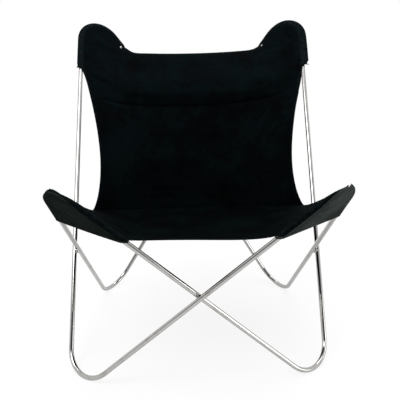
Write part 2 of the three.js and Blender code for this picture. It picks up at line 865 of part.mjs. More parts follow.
// A small domed rivet head on the last piece of canvas at the inner end of an ear seam. It stands
// clear of the fold that the canvas may have there, and of canvas that rises beside it.
function makeRivet(side) {
  const { grid } = back;
  const radius = rivetDiameter / 2;
  const column = side < 0 ? rodColumns : grid.length - rodColumns;
  const row = grid[column].length - 1;
  const [a, b, c, d] = [[1, 1], [0, 1], [0, 0], [1, 0]].map(([i, j]) => grid[column - i][row - j]);
  const normal = c.clone().sub(a).cross(d.clone().sub(b)).normalize();
  if (normal.dot(sitter) < 0) normal.negate();
  const fold = Math.abs(a.clone().add(c).sub(b).sub(d).dot(normal)) / 4;
  const centre = mix(mix(a, c, 1 / 2), mix(b, d, 1 / 2), 1 / 2);
  const beside = steps(-2, 1).flatMap((i) => steps(0, 2).map((j) => grid[column + i][row - j]));
  const rises = beside.map((spot) => {
    const step = spot.clone().sub(centre);
    return (step.dot(normal) * radius) / step.length();
  });
  const spot = along(centre, normal, canvas / 2 + fold + Math.max(0, ...rises) + seamGap);
  const profile = [new THREE.Vector2(0, 0), new THREE.Vector2(radius, 0)];
  for (let k = 1; k <= domeSteps; k += 1) {
    const turn = (Math.PI / 2) * (k / domeSteps);
    profile.push(new THREE.Vector2(radius * Math.cos(turn), rivetHeight * Math.sin(turn)));
  }
  profile[profile.length - 1].x = 0;
  const head = new THREE.LatheGeometry(profile, barSides);
  const turn = new THREE.Quaternion().setFromUnitVectors(new THREE.Vector3(0, 1, 0), normal);
  head.applyQuaternion(turn);
  head.translate(...spot.toArray());
  return geometryOf(solidOf(head));
}

const chrome = () => new THREE.MeshStandardMaterial({
  color: 0xd6d5d2, roughness: 0.08, metalness: 1,
});
const blackCanvas = () => new THREE.MeshStandardMaterial({
  color: 0x0b1113, roughness: 0.92, metalness: 0,
});
const nickel = () => new THREE.MeshStandardMaterial({
  color: 0xb9b8b2, roughness: 0.3, metalness: 1,
});

function mesh(name, geometry, material) {
  const made = new THREE.Mesh(geometry, material);
  made.name = name;
  return made;
}

const frame = new THREE.Group();
frame.add(
  mesh('frame_loop_a', wornFeet(sweptLoop(bendsA)), chrome()),
  mesh('frame_loop_b', wornFeet(sweptLoop(bendsB)), chrome()),
  mesh('weld_front', weldBead(runAfter(bendsA, 0), runAfter(bendsB, 0)), chrome()),
  mesh('weld_rear', weldBead(runAfter(bendsA, 2), runAfter(bendsB, 2)), chrome()),
  mesh('weld_left', weldBead(runAfter(bendsA, 3), runAfter(bendsB, 1)), chrome()),
  mesh('weld_right', weldBead(runAfter(bendsA, 1), runAfter(bendsB, 3)), chrome()),
);

const seat = makeSeat();
const back = makeBack();
const pockets = {
  front_pocket_left: makePocket(frontLeft, lipsOf(seat, -1)),
  front_pocket_right: makePocket(frontRight, lipsOf(seat, 1)),
  rear_pocket_left: makePocket(rearLeft, lipsOf(back, -1)),
  rear_pocket_right: makePocket(rearRight, lipsOf(back, 1)),
};

const sling = new THREE.Group();
function addCanvas(name, sheet, lean) {
  sling.add(mesh(name, sheet.solid(canvas, lean), blackCanvas()));
}
addCanvas('seat_panel', seat.sheet, 1);
addCanvas('back_panel', back.sheet, 1);
addCanvas('cross_seam', makeCrossSeam(), -1);
addCanvas('front_hem', makeHem(seat, 0, 1), -1);
addCanvas('top_hem', makeHem(back, back.grid[0].length - 1, -1), -1);
addCanvas('side_binding_left', makeBinding(-1), -1);
addCanvas('side_binding_right', makeBinding(1), -1);
for (const [name, pocket] of Object.entries(pockets)) {
  addCanvas(name, pocket.sheet, 1);
  addCanvas(name.replace('pocket', 'mouth_hem'), makeMouthHem(pocket), 1);
}
sling.add(
  mesh('rivet_left', makeRivet(-1), nickel()),
  mesh('rivet_right', makeRivet(1), nickel()),
);

// The whole chair, set so that the origin is on the floor under the middle of its outline
const chair = new THREE.Group();
chair.add(frame, sling);
const outline = new THREE.Box3().setFromObject(chair);
const middle = outline.getCenter(new THREE.Vector3());
chair.position.set(-middle.x, -middle.y, -outline.min.z);

export default chair;
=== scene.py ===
import bpy
import numpy as np
from mathutils import Matrix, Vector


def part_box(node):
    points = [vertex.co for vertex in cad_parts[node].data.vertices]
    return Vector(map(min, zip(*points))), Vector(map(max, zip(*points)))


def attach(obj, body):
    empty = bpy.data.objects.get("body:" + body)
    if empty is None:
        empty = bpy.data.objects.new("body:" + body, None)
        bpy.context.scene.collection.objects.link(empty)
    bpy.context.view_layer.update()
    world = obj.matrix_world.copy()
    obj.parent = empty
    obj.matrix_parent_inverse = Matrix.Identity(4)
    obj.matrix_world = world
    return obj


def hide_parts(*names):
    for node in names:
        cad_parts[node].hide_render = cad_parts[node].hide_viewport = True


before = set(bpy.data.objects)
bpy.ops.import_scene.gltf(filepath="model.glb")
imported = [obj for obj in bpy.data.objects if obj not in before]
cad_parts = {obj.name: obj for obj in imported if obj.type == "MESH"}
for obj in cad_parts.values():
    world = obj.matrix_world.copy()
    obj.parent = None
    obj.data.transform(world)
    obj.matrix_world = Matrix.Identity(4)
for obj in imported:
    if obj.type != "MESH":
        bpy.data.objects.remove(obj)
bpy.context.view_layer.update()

# The studio: a pale floor under a white room that is darker on the camera's side, one wide
# soft lamp over the front left, and a smaller one low on the right. The camera stands in
# front of the chair, a little above the seat, and looks down at it.
camera_spot = np.array([-0.0324, -1.65076, 0.8852])
yaw, pitch, roll = np.radians([1.466, -17.135, -0.542])
focal_pixels = 605.5
picture_pixels = 400
sensor = 36.0


def placed_object(name, data):
    """A new object in the scene with its data."""
    thing = bpy.data.objects.new(name, data)
    bpy.context.scene.collection.objects.link(thing)
    return thing


def turned_to(axes, spot):
    """The matrix that puts an object at a spot, with its own axes along three directions."""
    rows = [[*row, place] for row, place in zip(np.stack(axes, 1), spot)]
    return Matrix(rows + [[0, 0, 0, 1]])


look = np.array([np.sin(yaw) * np.cos(pitch), np.cos(yaw) * np.cos(pitch), np.sin(pitch)])
level = np.array([np.cos(yaw), -np.sin(yaw), 0.0])
over = np.cross(level, look)
across = level * np.cos(roll) + over * np.sin(roll)
upward = over * np.cos(roll) - level * np.sin(roll)
lens = bpy.data.cameras.new("photo_camera")
lens.sensor_width = sensor
lens.lens = focal_pixels * sensor / picture_pixels
lens.clip_end = 100
camera = placed_object("photo_camera", lens)
camera.matrix_world = turned_to([across, upward, -look], camera_spot)
bpy.context.scene.camera = camera
bpy.context.scene.view_settings.view_transform = "Standard"


def fed(tree, socket, value):
    """Gives an input a value, or a link from another node's socket."""
    if isinstance(value, bpy.types.NodeSocket):
        tree.links.new(value, socket)
    else:
        socket.default_value = value


def wired(tree, kind, settings=None, **inputs):
    """A node of that kind; each named input, or numbered one such as i6, is fed its value."""
    node = tree.nodes.new(kind)
    for name, value in (settings or {}).items():
        setattr(node, name, value)
    for name, value in inputs.items():
        key = name.replace("_", " ")
        numbered = key[0] == "i" and key[1:].isdigit()
        fed(tree, node.inputs[int(key[1:]) if numbered else key], value)
    return node


def sums(tree, operation, *values):
    """The result of one step of arithmetic on numbers or sockets."""
    node = tree.nodes.new("ShaderNodeMath")
    node.operation = operation
    for socket, value in zip(node.inputs, values):
        fed(tree, socket, value)
    return node.outputs[0]


def ranged(tree, value, low, high, to_low=0.0, to_high=1.0):
    """A number moved from one range to another, and held inside it."""
    return wired(
        tree, "ShaderNodeMapRange", {"interpolation_type": "SMOOTHSTEP"},
        Value=value, From_Min=low, From_Max=high, To_Min=to_low, To_Max=to_high,
    ).outputs["Result"]


def blended(tree, share, first, second):
    """One colour turning into another by a share."""
    return wired(
        tree, "ShaderNodeMix", {"data_type": "RGBA"}, i0=share, i6=first, i7=second,
    ).outputs[2]


def shown(tree, share, first, second, kind):
    """Shows one shader turning into another by a share, on the surface of a material or world."""
    both = wired(
        tree, "ShaderNodeMixShader", Fac=share, i1=first.outputs[0], i2=second.outputs[0],
    )
    fed(tree, wired(tree, f"ShaderNodeOutput{kind}").inputs["Surface"], both.outputs[0])


def ray_kinds(tree):
    """1 for rays from the camera, and 1 for those that a mirror or glass sends on."""
    paths = wired(tree, "ShaderNodeLightPath").outputs
    mirrored = sums(tree, "MAXIMUM", paths["Is Glossy Ray"], paths["Is Transmission Ray"])
    return paths["Is Camera Ray"], mirrored


def emptied(block):
    """The node tree of a world or a material, with nothing in it."""
    block.use_nodes = True
    block.node_tree.nodes.clear()
    return block.node_tree


pure_white = (1, 1, 1, 1)
wall_white, wall_dark = (0.9, 0.9, 0.9, 1), (0.07, 0.068, 0.066, 1)
dark_from, dark_full = -0.15, -0.7
room = bpy.data.worlds.new("white_room")
bpy.context.scene.world = room
tree = emptied(room)
direction = wired(tree, "ShaderNodeTexCoord").outputs["Generated"]
backward_part = wired(tree, "ShaderNodeSeparateXYZ", Vector=direction).outputs["Y"]
front_share = ranged(tree, backward_part, dark_from, dark_full)
walls = blended(tree, front_share, wall_white, wall_dark)
by_camera, mirrored = ray_kinds(tree)
reflected = sums(tree, "MULTIPLY", mirrored, sums(tree, "SUBTRACT", 1.0, front_share))
shown(
    tree, sums(tree, "MAXIMUM", by_camera, reflected),
    wired(tree, "ShaderNodeBackground", Color=walls, Strength=1.0),
    wired(tree, "ShaderNodeBackground", Color=pure_white, Strength=1.0), "World",
)

floor_half = 12.0
paper_pale = (0.93, 0.93, 0.93, 1)
white_from, white_full = 0.55, 1.1
whiteness_seen, whiteness_mirrored = 0.86, 0.5
floor_mesh = bpy.data.meshes.new("floor")
floor_mesh.from_pydata(
    [(x * floor_half, y * floor_half, 0) for x, y in ((-1, -1), (1, -1), (1, 1), (-1, 1))],
    [], [(0, 1, 2, 3)],
)
placed_object("floor", floor_mesh)
paper = bpy.data.materials.new("white_paper_floor")
tree = emptied(paper)
spot = wired(tree, "ShaderNodeTexCoord").outputs["Object"]
away = wired(tree, "ShaderNodeVectorMath", {"operation": "LENGTH"}, i0=spot).outputs["Value"]
by_camera, mirrored = ray_kinds(tree)
near_white = sums(
    tree, "MAXIMUM", sums(tree, "MULTIPLY", by_camera, whiteness_seen),
    sums(tree, "MULTIPLY", mirrored, whiteness_mirrored),
)
shown(
    tree, sums(tree, "MAXIMUM", ranged(tree, away, white_from, white_full), near_white),
    wired(tree, "ShaderNodeBsdfDiffuse", Color=paper_pale),
    wired(tree, "ShaderNodeEmission", Color=pure_white, Strength=1.0), "Material",
)
floor_mesh.materials.append(paper)


def soft_lamp(name, spot, aim, size, power):
    """A square soft lamp at a spot that shines on another one."""
    lamp = bpy.data.lights.new(name, "AREA")
    lamp.shape = "SQUARE"
    lamp.size = size
    lamp.energy = power
    beam = np.array(aim, float) - np.array(spot, float)
    beam /= np.linalg.norm(beam)
    side = np.cross(beam, (0, 0, 1))
    side /= np.linalg.norm(side)
    placed_object(name, lamp).matrix_world = turned_to([side, np.cross(side, beam), -beam], spot)


soft_lamp("main_lamp", (-1.3, -1.5, 2.9), aim=(0, 0, 0.4), size=1.6, power=60)
soft_lamp("top_lamp", (0.3, 0.5, 3.0), aim=(0, 0, 0.4), size=2.2, power=50)
soft_lamp("low_lamp", (2.2, -1.2, 0.5), aim=(0.2, -0.2, 0.45), size=1.2, power=22)

# The two loops of the frame: each is one length of 12.7 mm round steel bar, bent four times and
# welded into a closed ring, then plated with bright chrome. Each foot bend is worn a little flat.
bar_radius = 0.00635
weld_gap = 0.0003
foot_wear = 0.0008
chair_middle = np.array([-0.002198, -0.004358, 0.0])
corner_spots = {
    "front": (0.353, -0.420, 0.572),
    "front_foot": (0.3335, -0.304),
    "rear": (0.347, 0.442, 0.961),
    "rear_foot": (0.297, 0.260),
}
bend_radii = (0.071, 0.080, 0.068, 0.080)
level_rounds = 12


def unit(vectors):
    """Vectors at length one, and none where they have no length."""
    return vectors / np.maximum(np.linalg.norm(vectors, axis=-1, keepdims=True), 1e-12)


def dot(a, b):
    """The dot product, kept as a last axis of one."""
    return (a * b).sum(-1, keepdims=True)


def mix(a, b, t):
    """The straight path from a to b at t."""
    return a + (b - a) * t


def smooth(t):
    """Rises from 0 to 1 over t from 0 to 1, level at both ends."""
    t = np.clip(t, 0, 1)
    return t * t * (3 - 2 * t)


def arch(t):
    """A parabola that is 0 at 0 and at 1, and 1 half way."""
    return 4 * t * (1 - t)


def bend_at(before, corner, after, radius):
    """The arc that rounds a corner: its centre lies on the bisector at radius / sin(half angle)."""
    to_before, to_after = unit(before - corner), unit(after - corner)
    inward = unit(to_before + to_after)
    half = np.arccos(np.clip(to_before @ to_after, -1, 1)) / 2
    outward = -inward
    side = unit(to_after - inward * (to_after @ inward))
    normal = unit(np.cross(side, outward))
    if normal[2] < 0:
        normal = -normal
    centre = corner + inward * radius / np.sin(half)
    return {"radius": radius, "centre": centre, "outward": outward, "side": side,
            "normal": normal, "arc": (np.pi / 2 - half) * radius}


def bar_at(bend, distance):
    """The middle of the bar at distances from the top of a bend: on the arc up to its ends, then
    straight on. Also its outward, forward and upper directions there."""
    distance = np.asarray(distance, float)[..., None]
    held = np.clip(distance, -bend["arc"], bend["arc"])
    angle = held / bend["radius"]
    out = bend["outward"] * np.cos(angle) + bend["side"] * np.sin(angle)
    run = bend["side"] * np.cos(angle) - bend["outward"] * np.sin(angle)
    middle = bend["centre"] + out * bend["radius"] + run * (distance - held)
    return middle, out, run, np.broadcast_to(bend["normal"], out.shape)


def loop_bends(hand, aside, heights):
    """The four bends of a loop, from its front corner; hand 1 has that corner on the left."""
    (fx, fy, fz), (gx, gy) = corner_spots["front"], corner_spots["front_foot"]
    (rx, ry, rz), (sx, sy) = corner_spots["rear"], corner_spots["rear_foot"]
    corners = np.array([
        (-fx - aside, fy, fz), (gx - aside, gy, heights[0]),
        (rx - aside, ry, rz), (-sx - aside, sy, heights[1]),
    ])
    corners[:, 0] *= hand
    corners[:, 1] += hand * (bar_radius + weld_gap / 2)
    befores, afters = np.roll(corners, 1, 0), np.roll(corners, -1, 0)
    return [bend_at(*bend) for bend in zip(befores, corners, afters, bend_radii)]


def run_after(bend):
    """A spot on the straight run after a bend, and the run's direction."""
    middle, _, run, _ = bar_at(bend, bend["arc"])
    return middle, run


def nearest(first, second):
    """The nearest spots of two straight runs that pass each other."""
    (p, u), (q, v) = first, second
    offset, both = p - q, u @ v
    a, b, bottom = offset @ u, offset @ v, 1 - both * both
    return p + u * (both * b - a) / bottom, q + v * (b - both * a) / bottom


def passing(first, second):
    """How far one run passes to the right of another."""
    a, b = nearest(first, second)
    return np.sign((a - b)[0]) * np.linalg.norm(a - b)


def lowest(bend):
    """The least height of the bar's middle in a bend."""
    return bend["centre"][2] - bend["radius"] * np.hypot(bend["side"][2], bend["outward"][2])


aside, foot_heights = 0.0, np.zeros(2)
for _ in range(level_rounds):
    loop_a, loop_b = (loop_bends(hand, aside, foot_heights) for hand in (1, -1))
    left = passing(run_after(loop_a[3]), run_after(loop_b[1]))
    right = passing(run_after(loop_a[1]), run_after(loop_b[3]))
    aside += (min(left, right) - 2 * bar_radius - weld_gap) / 2
    foot_heights += bar_radius - foot_wear - np.array([lowest(loop_a[1]), lowest(loop_a[3])])
loop_a, loop_b = (loop_bends(hand, aside, foot_heights) for hand in (1, -1))
for bend in loop_a + loop_b:
    bend["centre"] = bend["centre"] + chair_middle


def laid_mesh(name, spots, faces, uv=None, marks=None):
    """A smooth-shaded object from arrays of spots and four-sided faces, with a UV for every
    face corner and a number called rub for every spot."""
    mesh = bpy.data.meshes.new(name)
    mesh.vertices.add(len(spots))
    mesh.vertices.foreach_set("co", np.asarray(spots, np.float32).ravel())
    mesh.loops.add(faces.size)
    mesh.loops.foreach_set("vertex_index", faces.ravel().astype(np.int32))
    mesh.polygons.add(len(faces))
    starts = np.arange(0, faces.size, faces.shape[1], dtype=np.int32)
    mesh.polygons.foreach_set("loop_start", starts)
    mesh.polygons.foreach_set("use_smooth", np.ones(len(faces), bool))
    if uv is not None:
        mesh.uv_layers.new(name="cloth").data.foreach_set("uv", np.asarray(uv, np.float32).ravel())
    if marks is not None:
        rub = mesh.attributes.new("rub", "FLOAT", "POINT").data
        rub.foreach_set("value", np.asarray(marks, np.float32))
    mesh.update(calc_edges=True)
    mesh.validate()
    return placed_object(name, mesh)


bar_sides = 40
bend_rings = 40
run_rings = 30


def loop_path(bends):
    """Rings round a whole loop: along each bend and the straight run after it. On a run the ring
    turns steadily from the first bend's outward direction to the next one's."""
    middles, outs, runs = [], [], []
    for bend, after in zip(bends, bends[1:] + bends[:1]):
        middle, out, run, _ = bar_at(bend, np.linspace(-bend["arc"], bend["arc"], bend_rings))
        middles.append(middle)
        outs.append(out)
        runs.append(run)
        end, start = bar_at(bend, bend["arc"]), bar_at(after, -after["arc"])
        other = np.cross(end[2], end[1])
        turn = np.arctan2(start[1] @ other, start[1] @ end[1])
        t = np.linspace(0, 1, run_rings + 2)[1:-1, None]
        middles.append(mix(end[0], start[0], t))
        outs.append(end[1] * np.cos(turn * t) + other * np.sin(turn * t))
        runs.append(np.broadcast_to(end[2], (run_rings, 3)))
    return np.concatenate(middles), np.concatenate(outs), np.concatenate(runs)


def round_bar(name, bends):
    """A circle of the bar's radius carried round a closed loop, and flat at the floor."""
    middle, out, run = loop_path(bends)
    turn = np.linspace(0, 2 * np.pi, bar_sides, endpoint=False)[:, None]
    other = np.cross(run, out)
    spots = middle[:, None] + bar_radius * (
        np.cos(turn) * out[:, None] + np.sin(turn) * other[:, None]
    )
    spots[..., 2] = np.maximum(spots[..., 2], 0)
    count = len(middle)
    i, k = np.meshgrid(np.arange(count), np.arange(bar_sides), indexing="ij")
    corners = ((i, k), (i, k + 1), (i + 1, k + 1), (i + 1, k))
    faces = np.stack([(a % count) * bar_sides + b % bar_sides for a, b in corners], -1)
    step = np.linalg.norm(np.roll(middle, -1, 0) - middle, axis=1)
    length = np.concatenate([[0], np.cumsum(step)])
    around = 2 * np.pi * bar_radius / bar_sides
    uv = np.stack([np.stack([b * around, length[a]], -1) for a, b in corners], -2)
    return laid_mesh(name, spots.reshape(-1, 3), faces.reshape(-1, 4), uv.reshape(-1, 2))


def new_material(name):
    """An empty material and its node tree."""
    material = bpy.data.materials.new(name)
    return material, emptied(material)


def noise(tree, vector, scale, detail=2.0, rough=0.5):
    """A grey noise over a vector."""
    return wired(
        tree, "ShaderNodeTexNoise", Vector=vector, Scale=scale, Detail=detail, Roughness=rough,
    ).outputs["Fac"]


def group_of(name, takes, gives):
    """An empty shader node group with named sockets, and what comes in at them."""
    group = bpy.data.node_groups.new(name, "ShaderNodeTree")
    for way, sockets in (("INPUT", takes), ("OUTPUT", gives)):
        for label, kind in sockets.items():
            group.interface.new_socket(label, in_out=way, socket_type=f"NodeSocket{kind}")
    return group, group.nodes.new("NodeGroupInput").outputs


def handed_out(group, **results):
    """Links results to a group's own outputs."""
    exit_node = group.nodes.new("NodeGroupOutput")
    for label, socket in results.items():
        group.links.new(socket, exit_node.inputs[label])


plate_bright, plate_clouded = (0.44, 0.435, 0.425, 1), (0.37, 0.355, 0.335, 1)
plating, taken = group_of(
    "cloudy_plating", {"Spot": "Vector", "Marks": "Vector"},
    {"Color": "Color", "Roughness": "Float", "Normal": "Vector"},
)
polish = noise(plating, taken["Marks"], 1.0, detail=3.0, rough=0.6)
clouds = noise(plating, taken["Spot"], 38.0, detail=4.0, rough=0.6)
patch = ranged(plating, clouds, 0.52, 0.72)
marked = ranged(plating, polish, 0.3, 0.75, to_low=0.06, to_high=0.11)
relief = wired(plating, "ShaderNodeBump", Height=polish, Strength=0.02, Distance=0.00002)
handed_out(
    plating, Color=blended(plating, patch, plate_bright, plate_clouded),
    Roughness=sums(plating, "ADD", marked, sums(plating, "MULTIPLY", patch, 0.06)),
    Normal=relief.outputs[0],
)


def with_shader(material, tree, **looks):
    """The material, its surface one shader with these looks."""
    shader = wired(tree, "ShaderNodeBsdfPrincipled", **looks)
    fed(tree, wired(tree, "ShaderNodeOutputMaterial").inputs["Surface"], shader.outputs[0])
    return material


def chrome_finish(name, place, marks_scale):
    """Bright plating: faint polishing marks, lengthwise on the bars, and a few cloudy patches."""
    material, tree = new_material(name)
    places = wired(tree, "ShaderNodeTexCoord").outputs
    marks = wired(tree, "ShaderNodeMapping", Vector=places[place], Scale=marks_scale).outputs[0]
    plate = wired(
        tree, "ShaderNodeGroup", {"node_tree": plating}, Spot=places["Object"], Marks=marks,
    ).outputs
    return with_shader(
        material, tree, Base_Color=plate["Color"], Metallic=1.0,
        Roughness=plate["Roughness"], Normal=plate["Normal"],
    )


def finished(piece, material, node=None):
    piece.data.materials.append(material)
    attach(piece, "root")
    if node:
        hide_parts(node)


bar_chrome = chrome_finish("chrome_on_bar", "UV", (2200, 60, 1))
for name, bends in (("a", loop_a), ("b", loop_b)):
    finished(round_bar(f"round_bar_loop_{name}", bends), bar_chrome, f"frame_loop_{name}")

# The four weld beads: where the loops cross they touch, and a bead of weld metal run round the
# touching place joins them. It was plated together with the bars.
bead_reach = 0.0064
bead_swell = 0.0009
bead_ripples = 17
ripple_height = 0.00028
bead_sink = 0.0005
bead_steps = 12
bead_turns = 136
bead_clip = 0.985 * bar_radius


def smooth_object(name, spots, faces):
    """A smooth-shaded object from spots and faces of three or four sides."""
    mesh = bpy.data.meshes.new(name)
    mesh.from_pydata(spots, [], faces)
    mesh.shade_smooth()
    return placed_object(name, mesh)


def weld_bead(name, first, second):
    """A ring round the touching place: at every turn it spans from one bar's surface to the
    other's, R - sqrt(R^2 - x^2) from the middle plane, and swells and ripples between them."""
    a, b = nearest(first, second)
    away = unit(a - b)
    half = np.linalg.norm(a - b) / 2
    u = first[1]
    v = np.cross(away, u)
    second_turn = np.arctan2(second[1] @ v, second[1] @ u)
    turn = np.linspace(0, 2 * np.pi, bead_turns, endpoint=False)[:, None]
    level = np.linspace(-1, 1, bead_steps)[None, :]
    reach = bead_reach + bead_swell * np.sqrt(np.clip(1 - level ** 2, 0, 1))
    reach = reach + ripple_height * np.abs(np.sin(turn * bead_ripples / 2)) * (1 - level ** 2)
    heights = []
    for bar_turn in (0.0, second_turn):
        beside = np.clip(np.abs(reach * np.sin(turn - bar_turn)), 0, bead_clip)
        heights.append((half - np.sqrt(bar_radius ** 2 - beside ** 2) + bead_sink) * level)
    height = np.where(level > 0, *heights)
    middle = (a + b) / 2
    ring = middle + away * height[..., None] + reach[..., None] * (
        u * np.cos(turn)[..., None] + v * np.sin(turn)[..., None]
    )
    tops = middle + away * np.array([[-half], [half]])
    spots = np.concatenate([ring.reshape(-1, 3), tops])
    number = np.arange(bead_turns * bead_steps).reshape(bead_turns, bead_steps)
    after = np.roll(number, -1, 0)
    sides = np.stack([number[:, :-1], after[:, :-1], after[:, 1:], number[:, 1:]], -1)
    foot, crown = (np.full(bead_turns, len(spots) - last) for last in (2, 1))
    caps = [np.stack([after[:, 0], number[:, 0], foot], -1),
            np.stack([number[:, -1], after[:, -1], crown], -1)]
    faces = sides.reshape(-1, 4).tolist() + np.concatenate(caps).tolist()
    return smooth_object(name, spots, faces)


bead_chrome = chrome_finish("chrome_on_weld", "Object", (900, 900, 900))
crossings = {
    "front": (loop_a[0], loop_b[0]),
    "rear": (loop_a[2], loop_b[2]),
    "left": (loop_a[3], loop_b[1]),
    "right": (loop_a[1], loop_b[3]),
}
for place, (first, second) in crossings.items():
    bead = weld_bead(f"weld_bead_{place}", run_after(first), run_after(second))
    finished(bead, bead_chrome, f"weld_{place}")

# The sling hangs by its four corners. At each one the canvas hugs the bar of a bend for a
# while on both sides, and stands off it a little on the outside where it is cut with ease.
canvas = 0.0012
hug_clearance = 0.0005
hug_radius = bar_radius + hug_clearance + canvas / 2
mouth_fade = 0.016
mouth_lift = 0.0008
ease_end = 0.7
mouth_turn_share = 0.2
spread_length = 0.050
corner_columns = 7
hem_columns = 12
all_columns = 2 * corner_columns + hem_columns


def cut_corner(bend, inner, outer, eases, seam, tip, bow, spread):
    """One corner's cut: its reach along the inner and outer bar, its eases at the top and on both
    bars, its seam's turn there and at the tip, its mouth's bow, and its spread at the mouth."""
    return {"bend": bend, "inner": inner, "outer": outer, "eases": eases,
            "seam": seam, "tip": tip, "bow": bow, "spread": spread}


corners = {
    "front_left": cut_corner(
        loop_a[0], 0.198, 0.189, (0.0006, 0.0022, 0.0022), 2.6, 1.1, bow=-0.0035, spread=0),
    "front_right": cut_corner(
        loop_b[0], 0.185, 0.181, (0.0080, 0.0022, 0.0022), 2.6, 1.1, bow=0.0005, spread=0),
    "rear_left": cut_corner(
        loop_b[2], 0.119, 0.189, (0.0045, 0.0030, 0.0050), 1.6, 1.6, bow=0.002, spread=0.0060),
    "rear_right": cut_corner(
        loop_a[2], 0.119, 0.189, (0.0088, 0.0002, 0.0125), 1.6, 1.6, bow=0.002, spread=0.0042),
}
front_pair = corners["front_left"], corners["front_right"]
rear_pair = corners["rear_left"], corners["rear_right"]


def reach_at(corner, distance):
    """The pocket's reach along the bar, inner for distances above 0 and outer below."""
    return np.where(distance > 0, corner["inner"], corner["outer"])


def mouth_share(corner, distance):
    """0 well inside the pocket, rising evenly to 1 at its mouth."""
    return np.clip(1 - (reach_at(corner, distance) - np.abs(distance)) / mouth_fade, 0, 1)


def hug(corner, distance, turn):
    """A spot on canvas that hugs the bar: an ellipse about the bar's middle, from its upper side
    at turn 0 round its outside at a quarter turn."""
    distance, turn = np.broadcast_arrays(np.asarray(distance, float), turn)
    middle, out, _, normal = bar_at(corner["bend"], distance)
    top, inner, outer = corner["eases"]
    ease = mix(top, np.where(distance > 0, inner, outer),
               smooth(np.abs(distance) / reach_at(corner, distance) / ease_end))
    ease = ease + corner["spread"] * smooth(1 - (corner["inner"] - distance) / spread_length)
    radius = hug_radius + mouth_lift * mouth_share(corner, distance)
    return middle + normal * (radius * np.cos(turn))[..., None] + out * (
        (radius + ease) * np.sin(turn))[..., None]


def turn_to(corner, distance, free, turn, hold):
    """Free canvas turned round the bar towards a place that hugs it. Its angle about the bar goes
    from the free one to the hugging one with hold, and so does its reach, counted in radii of the
    ellipse that hugs the bar, 1 / sqrt((cos / a)^2 + (sin / b)^2), and never less than one."""
    distance, turn, hold = np.broadcast_arrays(np.asarray(distance, float), turn, hold)
    middle, out, run, normal = bar_at(corner["bend"], distance)
    offset = free - middle
    rise, aside, beyond = (dot(offset, axis)[..., 0] for axis in (normal, out, run))
    near = hug(corner, distance, 0.0) - middle
    wide = hug(corner, distance, np.pi / 2) - middle
    a, b = np.linalg.norm(near, axis=-1), np.linalg.norm(wide, axis=-1)
    loose = np.arctan2(aside, rise)
    hugging = np.arctan2(b * np.sin(turn), a * np.cos(turn))
    angle = mix(loose, hugging, hold)

    def ellipse(angle):
        return 1 / np.sqrt((np.cos(angle) / a) ** 2 + (np.sin(angle) / b) ** 2)

    scale = np.maximum(1, mix(np.hypot(rise, aside) / ellipse(loose), 1, hold))
    reach = (ellipse(angle) * scale)[..., None]
    spot = middle + (normal * np.cos(angle)[..., None] + out * np.sin(angle)[..., None]) * reach
    return spot + run * (beyond * (1 - hold))[..., None]


def seam_turn(corner, distance):
    """How far round the bar the pocket's seam lies: further away from the bend's top, and drawn
    forward to a fifth at the mouth."""
    full = mix(corner["tip"], corner["seam"], smooth(distance / corner["bend"]["arc"]))
    return full * mix(1, mouth_turn_share, mouth_share(corner, distance))


def cubic(a, b, leaving, arriving, t):
    """The cubic from a to b with its slopes at both ends."""
    return (a * (1 + 2 * t) * (1 - t) ** 2 + b * t * t * (3 - 2 * t)
            + leaving * t * (1 - t) ** 2 - arriving * t * t * (1 - t))


def smooth_table(values):
    """The function that joins values at whole numbers by cubics which rise only where they do:
    each slope is the harmonic mean of the steps beside it."""
    values = np.asarray(values, float)
    step = np.diff(values)
    inner = 2 * step[:-1] * step[1:] / (step[:-1] + step[1:])
    slope = np.concatenate([[step[0]], inner, [step[-1]]])

    def at(x):
        i = np.clip(np.floor(x).astype(int), 0, len(values) - 2)
        return cubic(values[i], values[i + 1], slope[i], slope[i + 1], x - i)
    return at


trim_samples = 400
trim_window = 43


def smooth_table_through(places, values):
    """A smooth curve through values at rising places: a moving mean over a tenth of the straight
    lines between them."""
    ts = np.linspace(places[0], places[-1], trim_samples)
    line = np.interp(ts, places, values)
    kernel = np.hanning(trim_window)
    beyond = trim_window // 2
    padded = np.concatenate([np.repeat(line[:1], beyond), line, np.repeat(line[-1:], beyond)])
    soft = np.convolve(padded, kernel / kernel.sum(), "valid")
    return lambda t: np.interp(t, ts, soft)


def reaches(corner, reach):
    """Places along the bar: five over the bend, and three close together at the mouth."""
    half = corner["bend"]["arc"] * np.arange(5) / 4
    return np.concatenate([half, [reach - mouth_fade, reach - mouth_fade / 2, reach]])


def spaced(start, end, step):
    """Even places from start to end, no further apart than step."""
    return np.linspace(start, end, int(np.ceil(abs(end - start) / step)) + 1)


def banded(bounds, steps):
    """Even places band by band, each band with its own widest step."""
    bands = [spaced(*band) for band in zip(bounds[:-1], bounds[1:], steps)]
    return np.concatenate([bands[0]] + [band[1:] for band in bands[1:]])


edge_band = 0.024
close_step = 0.0018
wide_step = 0.0042
row_step = 0.0026


def pocket_places(corner, reach):
    """Column numbers of even places along the bar, close together near the tip."""
    places = banded((0, edge_band, reach), (close_step, wide_step))
    return np.interp(places, reaches(corner, reach), np.arange(corner_columns + 1))


def column_places(left, right, hem_length):
    """Column numbers over a panel's long edge, close together near both tips."""
    sides = [pocket_places(corner, corner["inner"]) for corner in (left, right)]
    hem = corner_columns + hem_columns * spaced(0, 1, wide_step / hem_length)
    return np.concatenate([sides[0], hem[1:-1], all_columns - sides[1][::-1]])


def from_end(column):
    """A column's number counted from the nearer end of the long edge."""
    return np.minimum(column, all_columns - column)


def free_share(near):
    """0 beside a pocket and 1 from one column number past its mouth."""
    return smooth(near - corner_columns)


